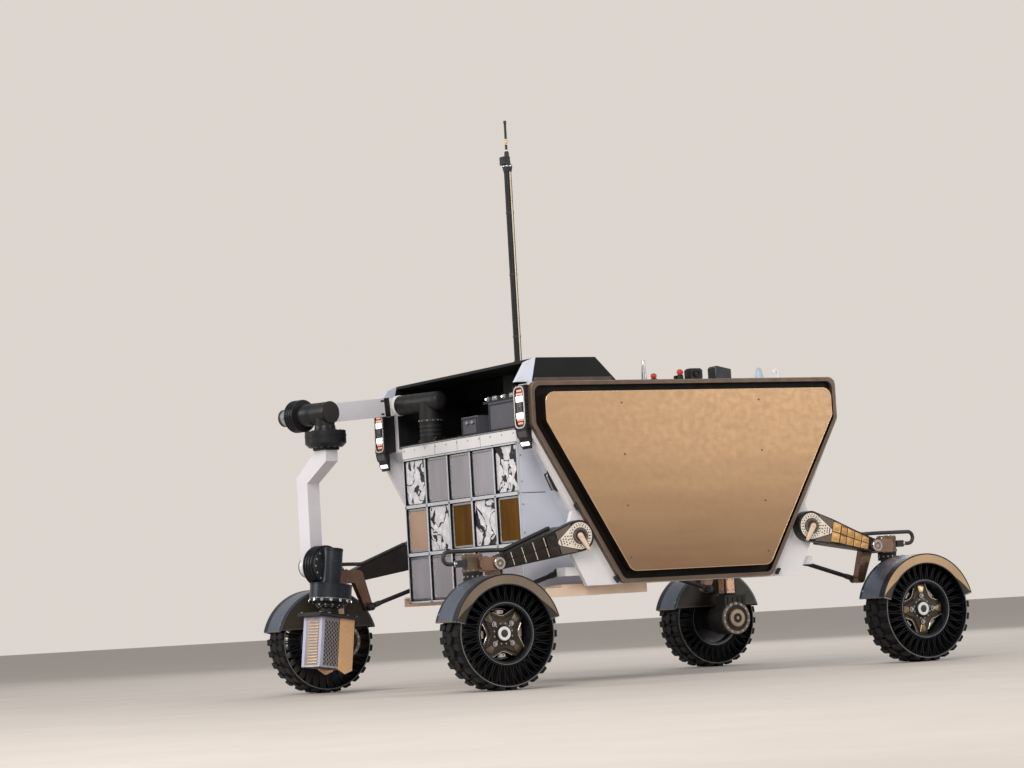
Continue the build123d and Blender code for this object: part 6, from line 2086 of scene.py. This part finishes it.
@single("steel", "arm_tool")
@swung
def tool_bolts(bm):
    bolt_ring(bm, on_tool(0.5562), ways(V, U, 12), 0.0882, 0.0042, 0.003)
    ring_of_bolts(bm, on_tool(0.5450), -Z, 0.074, 12, 0.0046, 0.004)
    for dv in (-0.150, -0.075, 0.075, 0.150):
        for du in (-0.090, 0.090):
            bolt(bm, on_arm(TOOL_V + dv, TOOL_U + du, PLATE_Z + 0.0222), Z, 0.0062, 0.005)


@single("charcoal", "arm_tool")
@swung
def tool_plate_edge(bm):
    for sign in (-1, 1):
        arm_block(bm, TOOL_V, TOOL_U + sign * 0.1075, PLATE_Z + 0.011, (0.336, 0.0030, 0.010), 0.001)


SCOOP_BACK, SCOOP_FRONT, SCOOP_HALF, SCOOP_TALL = -0.090, 0.130, 0.087, 0.315
SCOOP_LOW = PLATE_Z - SCOOP_TALL


def oval(width, height, steps=4):
    return rounded_rect(width, height, width / 2 - 0.0001, steps)


@single("dark_gap", "arm_tool")
@swung
def scoop_holes(bm):
    """Staggered oval holes in the scoop's two long walls, shown by dark ovals let into them."""
    for side in (-1, 1):
        for i in range(14):
            v = TOOL_V + SCOOP_FRONT - 0.031 - i * 0.0138
            if v < TOOL_V + SCOOP_BACK + 0.010:
                continue
            for k in range(11):
                z = SCOOP_LOW + 0.022 + (k + 0.5 * (i % 2)) * 0.0262
                if z < SCOOP_LOW + 0.296:
                    plate(bm, oval(0.0088, 0.0180), on_arm(v, TOOL_U + side * SCOOP_HALF, z), V, Z,
                          -0.0004 * side, 0.0, 0.0002 * side)


@single("lip_gold", "arm_tool")
@swung
def scoop_louvres(bm):
    """Level louvres on the scoop's outer end wall, beside the spine."""
    for k in range(15):
        z = SCOOP_LOW + 0.026 + k * 0.0182
        arm_block(bm, TOOL_V + SCOOP_FRONT + 0.0014, TOOL_U + 0.011, z, (0.0050, 0.094, 0.0094), 0.0012,
                  -0.30)


@single("perforated", "arm_tool")
@swung
def scoop_bars(bm):
    """The bars between the louvres of the inner end wall."""
    pitch = SCOOP_TALL / 13
    for k in range(12):
        z = SCOOP_LOW + pitch * (k + 0.5 + 0.225)
        arm_block(bm, TOOL_V + SCOOP_BACK - 0.0016, TOOL_U, z, (0.0042, 0.156, pitch * 0.45 + 0.0016), 0.001)


@single("lavender", "arm_tool")
@swung
def scoop_spines(bm):
    for du in (-SCOOP_HALF, SCOOP_HALF):
        sign = math.copysign(1, du)
        arm_block(bm, TOOL_V + SCOOP_FRONT - 0.0095, TOOL_U + du + sign * 0.0004, SCOOP_LOW + 0.155,
                  (0.0230, 0.0030, 0.306), 0.001)
        arm_block(bm, TOOL_V + SCOOP_FRONT + 0.0004, TOOL_U + du - sign * 0.0120, SCOOP_LOW + 0.155,
                  (0.0030, 0.0260, 0.306), 0.001)


@single("steel", "arm_tool")
@swung
def scoop_lip(bm):
    for du in (-SCOOP_HALF, SCOOP_HALF):
        arm_block(bm, TOOL_V + 0.020, TOOL_U + du, SCOOP_LOW + 0.005, (0.222, 0.0072, 0.010), 0.0015)
    for v in (SCOOP_BACK, SCOOP_FRONT):
        arm_block(bm, TOOL_V + v, TOOL_U, SCOOP_LOW + 0.005, (0.0072, 0.172, 0.010), 0.0015)


# Floor and the end

floor_mesh = bpy.data.meshes.new("floor")
bm = bmesh.new()
bmesh.ops.create_grid(bm, x_segments=1, y_segments=1, size=120)
bm.to_mesh(floor_mesh)
bm.free()
floor = bpy.data.objects.new("floor", floor_mesh)
floor.location = (0, 0, -0.0006)
scene.collection.objects.link(floor)
floor_mesh.materials.append(material("floor", (0.62, 0.57, 0.53), (0.58, 0.535, 0.495), 0.9, scale=1.2,
                                     bump=0.05, bump_scale=30))
